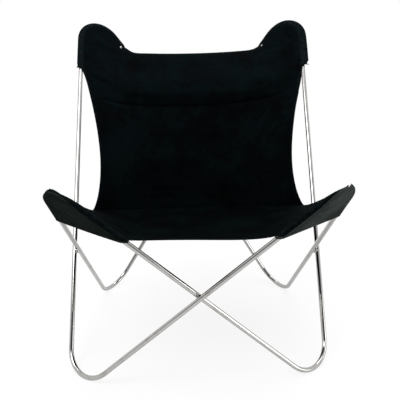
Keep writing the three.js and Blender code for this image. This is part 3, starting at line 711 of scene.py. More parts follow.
crease_half_width = 0.322
crease_shift = 0.011
crease_front = 0.120
crease_bow = 0.088
crease_height = 0.3162
crease_sag = 0.027
crease_tilt = 0.0027
crease_side_share = 0.19
side_shares = [
    reaches(corner, corner["inner"]) / corner["inner"] for corner in (front_pair[0], rear_pair[0])
]
side_share_at = smooth_table(crease_side_share * (side_shares[0] + side_shares[1]) / 2)


def crease_at(share):
    """The seam between seat and back: a level arc that bows back and sags in its middle."""
    side = 2 * share - 1
    return chair_middle + np.stack([
        side * crease_half_width + crease_shift,
        crease_front + crease_bow * arch(share),
        crease_height - crease_sag * arch(share) + side * crease_tilt,
    ], -1)


def crease_column(column):
    """Where a column of either panel meets the crease: as on the bars at its sides, then evenly."""
    near = from_end(column)
    middle = mix(crease_side_share, 1 - crease_side_share, (near - corner_columns) / hem_columns)
    share = np.where(near > corner_columns, middle, side_share_at(np.minimum(near, corner_columns)))
    return crease_at(np.where(column * 2 <= all_columns, share, 1 - share))


crease_ends = crease_at(np.array([0.0, 1.0]))

hem_bow = 0.030
hem_sag = 0.0118
hem_sag_right = 0.0050


def front_hem_at(t):
    """The free front edge: straight between the pockets, then bowed back and sagging, most to the
    right of its middle, as parabolas of t and of t^3."""
    ends = [hug(corner, corner["inner"], 0) for corner in front_pair]
    spot = mix(ends[0], ends[1], np.asarray(t)[..., None])
    sag = hem_sag * arch(t) + hem_sag_right * arch(t ** 3)
    return spot + np.stack([0 * t, hem_bow * arch(t), -sag], -1)


top_knots = np.array([
    (-0.1925, 0.401, 0.7640), (-0.1375, 0.396, 0.7602), (0, 0.392, 0.7590),
    (0.1418, 0.396, 0.7638), (0.1965, 0.401, 0.7688),
])
span_steps = 60


def top_curve():
    """Many spots along the free top edge: a curve through seven knots, each span a cubic with
    knots spaced by the square root of their distance."""
    ends = [hug(corner, corner["inner"], np.pi / 2) for corner in rear_pair]
    knots = np.concatenate([[ends[0]], chair_middle + top_knots, [ends[1]]])
    knots = np.concatenate([[2 * knots[0] - knots[1]], knots, [2 * knots[-1] - knots[-2]]])
    gap = np.sqrt(np.linalg.norm(np.diff(knots, axis=0), axis=1))[:, None]
    p0, p1, p2, p3 = knots[:-3], knots[1:-2], knots[2:-1], knots[3:]
    g0, g1, g2 = gap[:-2], gap[1:-1], gap[2:]
    m1 = ((p1 - p0) / g0 - (p2 - p0) / (g0 + g1) + (p2 - p1) / g1) * g1
    m2 = ((p2 - p1) / g1 - (p3 - p1) / (g1 + g2) + (p3 - p2) / g2) * g1
    t = np.linspace(0, 1, span_steps, endpoint=False)[None, :, None]
    spots = cubic(*(array[:, None] for array in (p1, p2, m1, m2)), t)
    return np.concatenate([spots.reshape(-1, 3), ends[1][None]])


def line_lengths(line):
    """Lengths along a line, from its first spot."""
    return np.concatenate([[0], np.cumsum(np.linalg.norm(np.diff(line, axis=0), axis=1))])


def along_line(spots, t):
    """Spots at shares t of the length of a line."""
    length = line_lengths(spots)
    return np.stack([np.interp(t * length[-1], length, spots[:, k]) for k in range(3)], -1)


top_line = top_curve()


def edge_stations(column, left, right, hem_at):
    """The long edge of a panel: spots, which corner each is near, its distance along the bar, how
    far it hugs the bar, how far round its seam lies, and how far it is sewn to a pocket."""
    near = from_end(column)
    on_bar = near <= corner_columns
    right_half = column * 2 > all_columns
    spot = hem_at(np.clip((column - corner_columns) / hem_columns, 0, 1))
    distance, turn = np.zeros(len(column)), np.zeros(len(column))
    for corner, here in ((left, ~right_half), (right, right_half)):
        places = smooth_table(reaches(corner, corner["inner"]))(np.minimum(near, corner_columns))
        spot = np.where((on_bar & here)[:, None], hug(corner, places, 0), spot)
        distance = np.where(here, places, distance)
        turn = np.where(here, seam_turn(corner, places), turn)
    return {"spot": spot, "right": right_half, "distance": distance, "turn": turn,
            "hold": 1 - free_share(near), "sewn": 1 - free_share(near)}


def filled(first, second, left, right, share):
    """The panel between four edges: each column runs straight from the first edge to the second,
    then both side edges pull it over, less the further it lies from them."""
    t = share[None, :, None]
    across = ((first[:, 0] - first[0, 0]) / (first[-1, 0] - first[0, 0]))[:, None, None]
    grid = mix(first[:, None], second[:, None], t)
    pull_left = left[None] - mix(first[0], second[0], t)
    pull_right = right[None] - mix(first[-1], second[-1], t)
    return grid + pull_left * (1 - across) + pull_right * across


def grid_normals(grid):
    """The sitter's side of a grid: the cross product of its two directions."""
    return unit(np.cross(np.gradient(grid, axis=0), np.gradient(grid, axis=1)))


def run_lengths(grid, axis):
    """Lengths along one direction of a grid, from its first line."""
    step = np.linalg.norm(np.diff(grid, axis=axis), axis=-1)
    start = np.zeros_like(np.take(step, [0], axis))
    return np.concatenate([start, np.cumsum(step, axis=axis)], axis)


fold_samples = 40
fold_window = 7
fold_fade = 0.7


def fold_height(flat, folds):
    """The sum of cloth folds at flat places. Each fold follows a smooth line through its knots: a
    ridge exp(-(d/width)^2) of its height that fades out over the line's two ends."""
    total = np.zeros(flat.shape[:-1])
    kernel = np.ones(fold_window) / fold_window
    ends = fold_window // 2
    for knots, width, height in folds:
        knots = np.asarray(knots, float)
        ts = np.linspace(0, len(knots) - 1, fold_samples)
        line = np.stack([np.interp(ts, np.arange(len(knots)), knots[:, k]) for k in (0, 1)], -1)
        line = np.concatenate([np.repeat(line[:1], ends, 0), line, np.repeat(line[-1:], ends, 0)])
        line = np.stack([np.convolve(line[:, k], kernel, "valid") for k in (0, 1)], -1)
        gap = np.linalg.norm(flat[..., None, :] - line, axis=-1)
        best = gap.argmin(-1)
        least = np.take_along_axis(gap, best[..., None], -1)[..., 0]
        fade = np.sin(np.pi * np.clip((best + 0.5) / fold_samples, 0, 1)) ** fold_fade
        total += height * fade * np.exp(-((least / width) ** 2))
    return total


free_roll = 0.00068
sewn_roll = 0.0026
fold_over = 0.020
lip_steps = 10


def edge_path(columns, rows, back):
    """Grid places along a panel's left side, long edge and right side, and their neighbours."""
    i, j = np.arange(columns), np.arange(rows)
    edge = rows - 1 if back else 0
    side = j[:-1] if back else j[:0:-1]
    place_i = np.concatenate([0 * side, i, 0 * side + columns - 1])
    place_j = np.concatenate([side, 0 * i + edge, side[::-1]])
    beside_i = np.concatenate([0 * side + 1, i, 0 * side + columns - 2])
    beside_j = np.concatenate([side, 0 * i + (rows - 2 if back else 1), side[::-1]])
    return place_i, place_j, beside_i, beside_j


def along_path(left, edge, right, back):
    """Values of the two sides and the long edge, in the order of the edge's path."""
    side = slice(None, -1) if back else slice(None, 0, -1)
    return {
        key: np.concatenate([left[key][side], edge[key], right[key][side][::-1]]) for key in edge
    }


def rolled_lips(grid, stations, left, right, back):
    """The canvas rolled over a panel's edges: by a quarter turn towards a pocket's seam, round the
    bar where the edge hugs it, and by a half turn into its hem where the edge is free."""
    columns, rows = grid.shape[:2]
    i, j, beside_i, beside_j = edge_path(columns, rows, back)
    spot, normal = grid[i, j], grid_normals(grid)[i, j]
    out = spot - grid[beside_i, beside_j]
    out = unit(out - normal * dot(out, normal))
    t = (np.arange(1, lip_steps + 1) / lip_steps)[None, :]
    sewn = stations["sewn"][:, None]
    roll, angle = mix(free_roll, sewn_roll, sewn), mix(np.pi, np.pi / 2, sewn) * t
    free = spot[:, None] + normal[:, None] * (roll * (np.cos(angle) - 1))[..., None]
    free = free + out[:, None] * (roll * np.sin(angle))[..., None]
    distance, turn, hold, right_half = (
        stations[key][:, None] for key in ("distance", "turn", "hold", "right")
    )
    lips = [turn_to(corner, distance, free, turn * t, hold) for corner in (left, right)]
    lips = np.where((right_half & np.ones_like(t, bool))[..., None], lips[1], lips[0])
    return {"i": i, "j": j, "lips": lips, "normal": normal, **stations}


def panel_faces(columns, rows, lips, back):
    """Faces of a panel's grid and of its rolled edges, all looking at the sitter."""
    number = np.arange(columns * rows).reshape(columns, rows)
    faces = np.stack([number[1:, :-1], number[1:, 1:], number[:-1, 1:], number[:-1, :-1]], -1)
    count = len(lips["i"])
    edge = columns * rows + np.arange(count * lip_steps).reshape(count, lip_steps)
    edge = np.concatenate([number[lips["i"], lips["j"]][:, None], edge], 1)
    before, after = (edge[1:], edge[:-1]) if back else (edge[:-1], edge[1:])
    lip_faces = np.stack([before[:, :-1], before[:, 1:], after[:, 1:], after[:, :-1]], -1)
    return np.concatenate([faces.reshape(-1, 4), lip_faces.reshape(-1, 4)])


def panel_uv(grid, lips):
    """Lengths in metres across the panel, from its middle, and along it, carried on over the
    rolled edges."""
    u, v = run_lengths(grid, 0), run_lengths(grid, 1)
    u = u - u[len(u) // 2]
    i, j = lips["i"], lips["j"]
    start = grid[i, j]
    rolled = np.concatenate([start[:, None], lips["lips"]], 1)
    steps = np.linalg.norm(np.diff(rolled, axis=1), axis=-1)
    over = np.cumsum(steps, 1)
    side = (i == 0) * -1.0 + (i == grid.shape[0] - 1) * 1.0
    ends = (j == 0) * -1.0 + (j == grid.shape[1] - 1) * 1.0
    side = np.where(ends != 0, side * 0, side)
    lip_uv = np.stack([
        u[i, j][:, None] + side[:, None] * over, v[i, j][:, None] + ends[:, None] * over,
    ], -1)
    return np.concatenate([np.stack([u, v], -1).reshape(-1, 2), lip_uv.reshape(-1, 2)])


def cloth_solid(name, spots, faces, uv, rub, thickness=canvas):
    """A closed sheet: every spot moved half the thickness to both sides along the mean normal of
    its faces, and a rounded rim along every free edge."""
    count = len(spots)
    a, b, c, d = (spots[faces[:, k]] for k in range(4))
    face_normal = np.cross(c - a, d - b)
    normals = np.zeros_like(spots)
    for k in range(4):
        np.add.at(normals, faces[:, k], face_normal)
    normals = unit(normals)
    edges = np.concatenate([faces[:, [k, (k + 1) % 4]] for k in range(4)])
    lone = ~np.isin(edges[:, 0] * count + edges[:, 1], edges[:, 1] * count + edges[:, 0])
    start, end = edges[lone].T
    away = np.zeros_like(spots)
    outward = np.cross(unit(spots[end] - spots[start]), normals[start])
    np.add.at(away, start, outward)
    np.add.at(away, end, outward)
    rim = np.unique(np.concatenate([start, end]))
    place = np.zeros(count, int)
    place[rim] = 2 * count + np.arange(len(rim))
    half = thickness / 2
    every = np.concatenate([spots + normals * half, spots - normals * half,
                            spots[rim] + unit(away[rim]) * half])
    skins = [faces, faces[:, ::-1] + count]
    rims = [np.stack([end, start, place[start], place[end]], -1),
            np.stack([place[end], place[start], start + count, end + count], -1)]
    source = np.stack([end, start, start, end], -1)
    corners_uv = uv[np.concatenate([faces, faces[:, ::-1], source, source])].reshape(-1, 2)
    return laid_mesh(name, every, np.concatenate(skins + rims), corners_uv,
                     np.concatenate([rub, rub, rub[rim]]))


def on_picture(spots):
    """Where spots show in the picture, in its pixels from the upper left."""
    offset = spots - camera_spot
    depth = offset @ look
    half = picture_pixels / 2
    return np.stack([half + focal_pixels * (offset @ across) / depth,
                     half - focal_pixels * (offset @ upward) / depth], -1)


# The canvas: a plain weave of thick cotton yarns, dyed nearly black. It is dull, a little uneven in
# its dye, and paler and greyer where its edges are rubbed. The gaps between its yarns carry painted
# shade.
canvas_pitch = 0.00115
thread_pitch = 0.0004
weave, taken = group_of(
    "plain_weave", {"Place": "Vector", "Pitch": "Float"}, {"Height": "Float", "Gaps": "Float"},
)
parts = wired(weave, "ShaderNodeSeparateXYZ", Vector=taken["Place"]).outputs
waves = []
for axis in ("X", "Y"):
    half_turns = sums(weave, "MULTIPLY", parts[axis], np.pi)
    waves.append(sums(weave, "SINE", sums(weave, "DIVIDE", half_turns, taken["Pitch"])))
over_under = sums(weave, "MULTIPLY", *waves)
yarns = sums(weave, "MAXIMUM", *(sums(weave, "ABSOLUTE", wave) for wave in waves))
slub_place = wired(weave, "ShaderNodeMapping", Vector=taken["Place"], Scale=(90, 700, 1)).outputs[0]
handed_out(
    weave,
    Height=sums(weave, "ADD", sums(weave, "MULTIPLY", over_under, 0.5),
                sums(weave, "MULTIPLY", noise(weave, slub_place, 1.0), 0.5)),
    Gaps=ranged(weave, yarns, 0.25, 0.75, to_low=1.0, to_high=0.0),
)

# Painted shade: the colour that the gaps between yarns are darkened towards.
gap_painted_shade = (0.001, 0.001, 0.001, 1)
dyed, taken = group_of(
    "canvas_dye_and_painted_gap_shade",
    {"Spot": "Vector", "Flat": "Vector", "Rub": "Float", "Pitch": "Float",
     "Dark": "Color", "Pale": "Color", "Rubbed": "Color"},
    {"Color": "Color", "Roughness": "Float", "Normal": "Vector"},
)
spot = taken["Spot"]
yarn = wired(
    dyed, "ShaderNodeGroup", {"node_tree": weave}, Place=taken["Flat"], Pitch=taken["Pitch"],
).outputs
patch = noise(dyed, spot, 47.0, detail=4.0, rough=0.6)
cloud = sums(dyed, "MULTIPLY", noise(dyed, spot, 9.0, detail=3.0, rough=0.55), 0.6)
cloud = sums(dyed, "ADD", cloud, sums(dyed, "MULTIPLY", patch, 0.4))
colour = blended(dyed, ranged(dyed, cloud, 0.38, 0.62), taken["Dark"], taken["Pale"])
frayed = noise(dyed, spot, 160.0, detail=3.0, rough=0.6)
fray = ranged(dyed, frayed, 0.35, 0.7, to_low=0.15, to_high=0.8)
colour = blended(dyed, sums(dyed, "MULTIPLY", taken["Rub"], fray), colour, taken["Rubbed"])
specks = noise(dyed, spot, 900.0, detail=1.0, rough=0.5)
lint = ranged(dyed, specks, 0.74, 0.82, to_high=0.35)
colour = blended(dyed, lint, colour, taken["Rubbed"])
# Painted shade in the weave: the gaps between yarns are taken half-way to black.
colour = blended(dyed, sums(dyed, "MULTIPLY", yarn["Gaps"], 0.5), colour, gap_painted_shade)
crumple = noise(dyed, spot, 26.0, detail=3.0, rough=0.5)
soft = wired(dyed, "ShaderNodeBump", Height=crumple, Strength=0.35, Distance=0.004).outputs[0]
fine = wired(
    dyed, "ShaderNodeBump", Height=yarn["Height"], Strength=0.6, Distance=0.0003, Normal=soft,
)
handed_out(
    dyed, Color=colour, Roughness=ranged(dyed, patch, 0.3, 0.7, to_low=0.8, to_high=0.92),
    Normal=fine.outputs[0],
)


def canvas_finish(name, dark, pale, rubbed, pitch=canvas_pitch):
    """Black canvas: its weave as bump and with painted shade in the gaps between yarns, two clouds
    of uneven dye, soft creases, lint, and the rubbed edges."""
    material, tree = new_material(name)
    places = wired(tree, "ShaderNodeTexCoord").outputs
    rub = wired(tree, "ShaderNodeAttribute", {"attribute_name": "rub"}).outputs["Fac"]
    cloth = wired(
        tree, "ShaderNodeGroup", {"node_tree": dyed}, Spot=places["Object"], Flat=places["UV"],
        Rub=rub, Pitch=pitch, Dark=(*dark, 1), Pale=(*pale, 1), Rubbed=(*rubbed, 1),
    ).outputs
    return with_shader(
        material, tree, Base_Color=cloth["Color"], Roughness=cloth["Roughness"],
        Normal=cloth["Normal"], Specular_IOR_Level=0.01,
    )


# The seat panel: heavy black cotton canvas, 1.2 mm thick, cut wider at the front and sewn to the
# back along the crease. Its side edges and front edge are turned under and stitched.
hem_relief = 0.00035
hem_width = 0.0185
groove_depth = 0.0003
stitch_inset = 0.0168
crease_gap = 0.0006
seat_sag = 0.025
seat_side_bow = 0.013
seat_side_sag = 0.0115
seat_margin = 0.019
seat_margin_steps = 5
relax_rounds = 60
relax_share = 0.25
relax_ends, relax_sides = 0.06, 0.03
crease_calm = 0.012
edge_calm = 0.014
hem_step_start, hem_step_width = 0.001, 0.0025
groove_width = 0.0009
rub_fade = 0.003
lip_rub_loss = 0.6

seat_folds = [
    # knots in pixels of the picture, half width in pixels, height in metres
    ([(100, 207.5), (120, 212), (150, 215.5), (200, 217), (245, 215), (285, 210), (303, 206)],
     2.6, 0.0022),
    ([(105, 213), (140, 219), (165, 222), (185, 222.5)], 1.5, -0.0030),
    ([(110, 218), (140, 223.8), (168, 226.5), (190, 227)], 1.8, 0.0016),
    ([(120, 222), (130, 226), (140, 228), (155, 230)], 1.3, -0.0018),
    ([(245, 219), (262, 215), (280, 212), (300, 209)], 1.5, -0.0028),
    ([(238, 224), (256, 220.5), (276, 217.5), (296, 213)], 1.8, 0.0015),
    ([(250, 226), (260, 224.5), (270, 222), (282, 219)], 1.3, -0.0018),
    ([(185, 221), (215, 220), (245, 218.5)], 2.0, -0.0010),
    ([(60, 196), (76, 207), (98, 220), (124, 235)], 2.2, 0.0016),
    ([(70, 198), (88, 209), (108, 221), (130, 233)], 2.6, -0.0013),
    ([(335, 197), (318, 207), (296, 219), (274, 232)], 2.2, 0.0014),
    ([(327, 197), (308, 208), (288, 219), (268, 231)], 2.6, -0.0013),
    ([(145, 236), (175, 233.5), (205, 233), (235, 234), (258, 236)], 2.0, 0.0010),
    ([(56, 193), (66, 197), (80, 200)], 1.6, -0.0014),
    ([(344, 193), (334, 196), (322, 198)], 1.6, -0.0014),
]


def hem_profile(inset):
    """How far the cloth over a turned hem stands up, at a distance from its edge, and the groove
    that the stitching draws into it."""
    step = hem_relief * (1 - smooth((inset - hem_width + hem_step_start) / hem_step_width))
    return step - groove_depth * np.exp(-(((inset - stitch_inset) / groove_width) ** 2))


def seat_table(corner, whole):
    """Distances from the bend's top down the seat's side edge, at whole row numbers."""
    outer = corner["outer"]
    share = np.arange(1, seat_margin_steps + 1) / seat_margin_steps
    return np.concatenate([reaches(corner, outer), mix(outer, whole - seat_margin, share), [whole]])


def seat_side(corner, crease_end, side, row_places):
    """The seat's side edge, from the bend to the crease: it leaves the bar past the bend, runs
    nearly straight, bows in and sags as parabolas."""
    whole = np.linalg.norm(hug(corner, 0.0, 0) - crease_end)
    distance = smooth_table(seat_table(corner, whole))(row_places)
    share = distance / whole
    spot = mix(hug(corner, 0.0, 0), crease_end, share[:, None])
    bow, sag = side * seat_side_bow * arch(share), seat_side_sag * arch(share)
    return {
        "spot": spot - np.stack([bow, 0 * share, sag], -1), "distance": -distance,
        "right": np.full(len(distance), side > 0),
        "hold": 1 - smooth(distance / corner["bend"]["arc"]),
        "turn": np.full(len(distance), corner["tip"]),
        "sewn": 1 - smooth((distance - corner["outer"]) / fold_over),
    }, share


hem_span = np.linalg.norm(front_hem_at(np.array(1.0)) - front_hem_at(np.array(0.0)))
seat_columns = column_places(*front_pair, hem_span)
seat_near = from_end(seat_columns)
seat_edge = edge_stations(seat_columns, *front_pair, front_hem_at)
seat_whole = np.linalg.norm(hug(front_pair[0], 0.0, 0) - crease_ends[0])
seat_row_table = seat_table(front_pair[0], seat_whole)
seat_bounds = 0, edge_band, front_pair[0]["outer"], seat_whole - edge_band, seat_whole
seat_rows = np.interp(
    banded(seat_bounds, (close_step, wide_step, wide_step, row_step)),
    seat_row_table, np.arange(len(seat_row_table)),
)
seat_left, seat_share = seat_side(front_pair[0], crease_ends[0], -1, seat_rows)
seat_right, _ = seat_side(front_pair[1], crease_ends[1], 1, seat_rows)
seat_crease = crease_column(seat_columns)
seat_grid = filled(seat_edge["spot"], seat_crease, seat_left["spot"], seat_right["spot"],
                   seat_share)
seat_width_share = (seat_columns / all_columns)[:, None]
seat_grid[..., 2] -= seat_sag * arch(seat_share)[None, :] * np.sqrt(arch(seat_width_share))


def edge_distances(grid, edge_row):
    """How far each spot of a grid is from the nearer side edge, and from one of its rows."""
    u, v = run_lengths(grid, 0), run_lengths(grid, 1)
    return np.minimum(u, u[-1][None] - u), np.abs(v - v[:, edge_row][:, None])


def relaxed(grid, edge_row):
    """The grid with its columns evened out sideways: each spot moves towards the mean of its
    neighbours, fully from 60 mm inside the long edge and 30 mm inside the side edges."""
    for _ in range(relax_rounds):
        side, ends = edge_distances(grid, edge_row)
        share = (smooth(ends / relax_ends) * smooth(side / relax_sides))[1:-1, :, None]
        grid = grid.copy()
        grid[1:-1] += relax_share * share * (grid[2:] - 2 * grid[1:-1] + grid[:-2])
    return grid


def drawn_back(grid, row, beside):
    """The grid with its crease row moved a little towards its neighbour, clear of the other
    panel."""
    grid = grid.copy()
    grid[:, row] += unit(grid[:, beside] - grid[:, row]) * crease_gap
    return grid


def dressed(grid, folds, edge_row, crease_row, near, side_free):
    """A panel's grid with its folds, which fade out over 12 mm before the crease and 14 mm before
    every other edge, and with the relief of its hems along the free edges."""
    side, ends = edge_distances(grid, edge_row)
    crease_calmed = smooth(edge_distances(grid, crease_row)[1] / crease_calm)
    height = fold_height(on_picture(grid), folds) * crease_calmed
    height = height * smooth(side / edge_calm) * smooth(ends / edge_calm)
    height += hem_profile(ends) * free_share(near)[:, None]
    height += hem_profile(side) * side_free[None, :]
    return grid + grid_normals(grid) * height[..., None]


seat_grid = relaxed(seat_grid, 0)
seat_grid = dressed(seat_grid, seat_folds, 0, -1, seat_near, 1 - seat_left["sewn"])
seat_grid = drawn_back(seat_grid, -1, -2)
seat_stations = along_path(seat_left, seat_edge, seat_right, False)
seat_lips = rolled_lips(seat_grid, seat_stations, *front_pair, False)


def panel_rub(grid, lips, edge_row):
    """How rubbed a panel is: full on its rolled edges, and fading over 3 mm inside them."""
    inside = np.exp(-np.minimum(*edge_distances(grid, edge_row)) / rub_fade)
    over = np.broadcast_to(
        1 - lip_rub_loss * np.linspace(0, 1, lip_steps) ** 2, (len(lips["i"]), lip_steps),
    )
    return np.concatenate([inside.ravel(), over.ravel()])


def panel_piece(name, grid, lips, back):
    """A panel with its rolled edges as one closed sheet of cloth."""
    spots = np.concatenate([grid.reshape(-1, 3), lips["lips"].reshape(-1, 3)])
    faces = panel_faces(*grid.shape[:2], lips, back)
    rub = panel_rub(grid, lips, -1 if back else 0)
    return cloth_solid(name, spots, faces, panel_uv(grid, lips), rub)


seat = panel_piece("canvas_seat", seat_grid, seat_lips, False)
# The seat's copy of the canvas is painted about 0.6 times darker than the back's. This is painted
# shade that offsets the light the seat catches at its grazing angle.
seat_canvas_painted_shade = canvas_finish(
    "black_canvas_of_seat_with_painted_shade", (0.0006, 0.0008, 0.0011), (0.0010, 0.0026, 0.0027),
    rubbed=(0.006, 0.010, 0.011))
finished(seat, seat_canvas_painted_shade, "seat_panel")

# The back panel: the same canvas. It rises from the crease to the two ears, narrow at the waist,
# and its head part rolls forward over a sharp fold a hand's width below the free top edge.
fold_below_top = 0.160
head_bulge = 0.013
head_share = 0.6
fold_depth = 0.0055
fold_width = 0.006
fold_lap = 0.0045
lap_rise, lap_fade = 0.004, 0.016
bulge_width = 1.15
metres_per_pixel = 0.0027
fold_line = [
    (70, 92), (95, 97), (112, 101.5), (130, 104.5), (150, 106), (190, 106), (215, 104.5),
    (240, 102), (270, 96.5), (290, 88), (310, 78),
]
waist_inset = 0.036
waist_forward = 0.008
waist_share = 0.75
side_shares_back = np.array([
    0, 0.045, 0.145, 0.3, 0.455, 0.585, 0.69, 0.755, 0.8, 0.84, 0.89, 0.945, 1,
])
ear_bottom_share = 0.91
middle_shares_back = np.array([
    0, 0.038, 0.12, 0.25, 0.38, 0.49, 0.575, 0.625, 0.66, 0.695, 0.76, 0.84, ear_bottom_share,
])
free_rows = len(side_shares_back) - 1
last_row = free_rows + corner_columns
fold_band = 0.74, 0.87
fold_row_steps = 0.0049, 0.0017, 0.0034

back_folds = [
    ([(98, 101), (120, 107), (140, 110)], 2.0, 0.0022),
    ([(90, 75), (96, 78.5), (103, 83)], 1.4, -0.0030),
    ([(91, 71), (98, 75), (106, 79)], 1.9, 0.0016),
    ([(285, 88), (275, 103), (262, 125), (250, 145)], 2.2, 0.0030),
    ([(276, 92), (268, 106), (256, 124), (243, 143)], 1.8, -0.0026),
    ([(290, 105), (281, 119), (270, 135), (255, 160)], 2.2, 0.0028),
    ([(291, 96), (280, 112), (267, 130), (253, 150)], 1.5, -0.0026),
    ([(102, 112), (113, 128), (128, 146), (140, 166)], 3.2, 0.0022),
    ([(112, 110), (124, 127), (137, 146), (146, 165)], 2.6, -0.0016),
    ([(253, 52), (262, 47), (268, 43), (280, 40)], 1.6, 0.0022),
    ([(256, 55), (268, 49), (280, 46), (290, 44)], 1.5, -0.0022),
    ([(282, 32), (288, 38), (296, 45)], 1.6, -0.0018),
    ([(286, 50), (278, 60), (272, 74)], 2.2, -0.0018),
    ([(97, 36), (104, 44), (116, 50), (130, 53)], 1.8, 0.0018),
    ([(94, 43), (104, 50), (116, 56)], 1.6, -0.0018),
    ([(100, 58), (135, 56), (170, 55.5), (200, 55.5), (240, 55.5), (290, 57)], 1.2, 0.0012),
    ([(96, 60.5), (135, 59), (170, 58), (200, 58), (240, 58), (292, 60.5)], 1.2, -0.0012),
    ([(150, 125), (190, 132), (230, 128)], 7.0, 0.0018),
    ([(120, 180), (170, 186), (230, 184), (272, 178)], 4.0, 0.0016),
    ([(108, 192), (150, 198), (200, 199), (250, 197), (290, 192)], 2.4, -0.0016),
]

waist_trims = {
    -1: ([0, 0.1, 0.3, 0.5, 0.62, 0.75, 0.9, 1],
         [-0.0005, -0.0005, -0.0004, 0.0008, 0.0020, 0.0032, 0.0042, 0.001]),
    1: ([0, 0.1, 0.3, 0.5, 0.7, 0.9, 1], [0, 0.0018, 0.0008, -0.0010, -0.0018, -0.0058, -0.001]),
}


def back_side(corner, crease_end, side, row_places):
    """The back's side edge: free from the crease up, drawn in at the waist as sin(pi t^0.75) and a
    trim of its own, then down round the outside of the ear's bar to its bend."""
    mouth = hug(corner, -corner["outer"], 0)
    t = smooth_table(side_shares_back)(np.minimum(row_places, free_rows))
    free = mix(crease_end, mouth, t[:, None])
    inward = waist_inset * np.sin(np.pi * t ** waist_share)
    inward = inward + smooth_table_through(*waist_trims[side])(t)
    free = free - np.stack([side * inward, waist_forward * arch(t), 0 * t], -1)
    past = np.clip(last_row - row_places, 0, corner_columns)
    distance = -smooth_table(reaches(corner, corner["outer"]))(past)
    held = row_places >= free_rows
    hold = smooth(row_places - free_rows + 1)
    return {
        "spot": np.where(held[:, None], hug(corner, distance, 0), free), "distance": distance,
        "right": np.full(len(distance), side > 0), "hold": hold,
        "turn": np.where(held, seam_turn(corner, distance), corner["seam"] * mouth_turn_share),
        "sewn": hold,
    }


def row_share(row_places):
    """The share of the back's height for a row in its middle."""
    held = mix(ear_bottom_share, 1, (row_places - free_rows) / corner_columns)
    free = smooth_table(middle_shares_back)(np.minimum(row_places, free_rows))
    return np.where(row_places >= free_rows, held, free)


def head_fold(above):
    """How far the back stands forward above its fold: full under the head, sin(pi t^(1/0.6))^2,
    drawn in sharply at the fold, exp(-|x|/width), and lapping over it from above."""
    t = 1 - np.clip(above / fold_below_top, 0, 1)
    lap = fold_lap * smooth(above / lap_rise) * np.exp(-np.maximum(above, 0) / lap_fade)
    drawn_in = fold_depth * np.exp(-np.abs(above) / fold_width)
    return head_bulge * np.sin(np.pi * t ** (1 / head_share)) ** 2 + lap - drawn_in


top_span = np.linalg.norm(np.diff(top_line, axis=0), axis=1).sum()
back_columns = column_places(*rear_pair, top_span)
back_near = from_end(back_columns)
back_edge = edge_stations(back_columns, *rear_pair, lambda t: along_line(top_line, t))
back_height = np.linalg.norm(crease_ends[0] - hug(rear_pair[0], -rear_pair[0]["outer"], 0))
back_bounds = 0, edge_band, *(share * back_height for share in fold_band), back_height
back_rows = np.concatenate([
    np.interp(banded(back_bounds, (row_step, *fold_row_steps)) / back_height,
              side_shares_back, np.arange(free_rows + 1)),
    last_row - pocket_places(rear_pair[0], rear_pair[0]["outer"])[-2::-1],
])
back_left = back_side(rear_pair[0], crease_ends[0], -1, back_rows)
back_right = back_side(rear_pair[1], crease_ends[1], 1, back_rows)
back_grid = filled(crease_column(back_columns), back_edge["spot"], back_left["spot"],
                   back_right["spot"], row_share(back_rows))
back_grid = relaxed(back_grid, -1)
in_picture = on_picture(back_grid)
fold_there = np.interp(in_picture[..., 0], *np.transpose(fold_line))
above_fold = (fold_there - in_picture[..., 1]) * metres_per_pixel
bulge = head_fold(above_fold) * smooth(arch((back_columns / all_columns)[:, None]) * bulge_width)
back_grid = back_grid + grid_normals(back_grid) * bulge[..., None]
back_grid = dressed(back_grid, back_folds, -1, 0, back_near, 1 - back_left["sewn"])
back_grid = drawn_back(back_grid, 0, 1)
back_stations = along_path(back_left, back_edge, back_right, True)
back_lips = rolled_lips(back_grid, back_stations, *rear_pair, True)
back = panel_piece("canvas_back", back_grid, back_lips, True)
back_canvas = canvas_finish(
    "black_canvas_of_back", (0.0011, 0.0013, 0.0018), (0.0017, 0.0040, 0.0044),
    rubbed=(0.008, 0.012, 0.013))
finished(back, back_canvas, "back_panel")

# The four pockets: each is sewn to the rolled edge of a panel, goes on round the bar, closes over
# its far side and ends in a turned mouth between the two bars. The sling hangs by them.
sewn_gap = 0.0002
leave_turn = 0.1
mouth_slant = 0.057
mouth_spare = 0.0008
free_steps, wrap_steps, flat_steps, mouth_steps = 8, 16, 14, 8
hem_layer = 0.00136
pull_pitch = 0.0125
pull_height = 0.0007
last_leave = 3.0
tight_roll = 0.0003
roll_rise = 0.35
row_slack = 1e-6
pull_start, pull_fade_bar, pull_fade_mouth = 0.002, 0.012, 0.014


def corner_lips(lips, columns, rows, near, right_half, outer_rows):
    """The part of a panel's rolled edge that carries a pocket, from the mouth on the inner bar
    over the bend to the mouth on the outer one."""
    tip = rows - 1 + (columns - 1 if right_half else 0)
    half = (near[::-1] if right_half else near)[:columns // 2]
    inner = int((half <= corner_columns + row_slack).sum()) - 1
    way = -1 if right_half else 1
    order = tip + way * np.arange(inner, -outer_rows - 1, -1)
    return {key: value[order] for key, value in lips.items()}


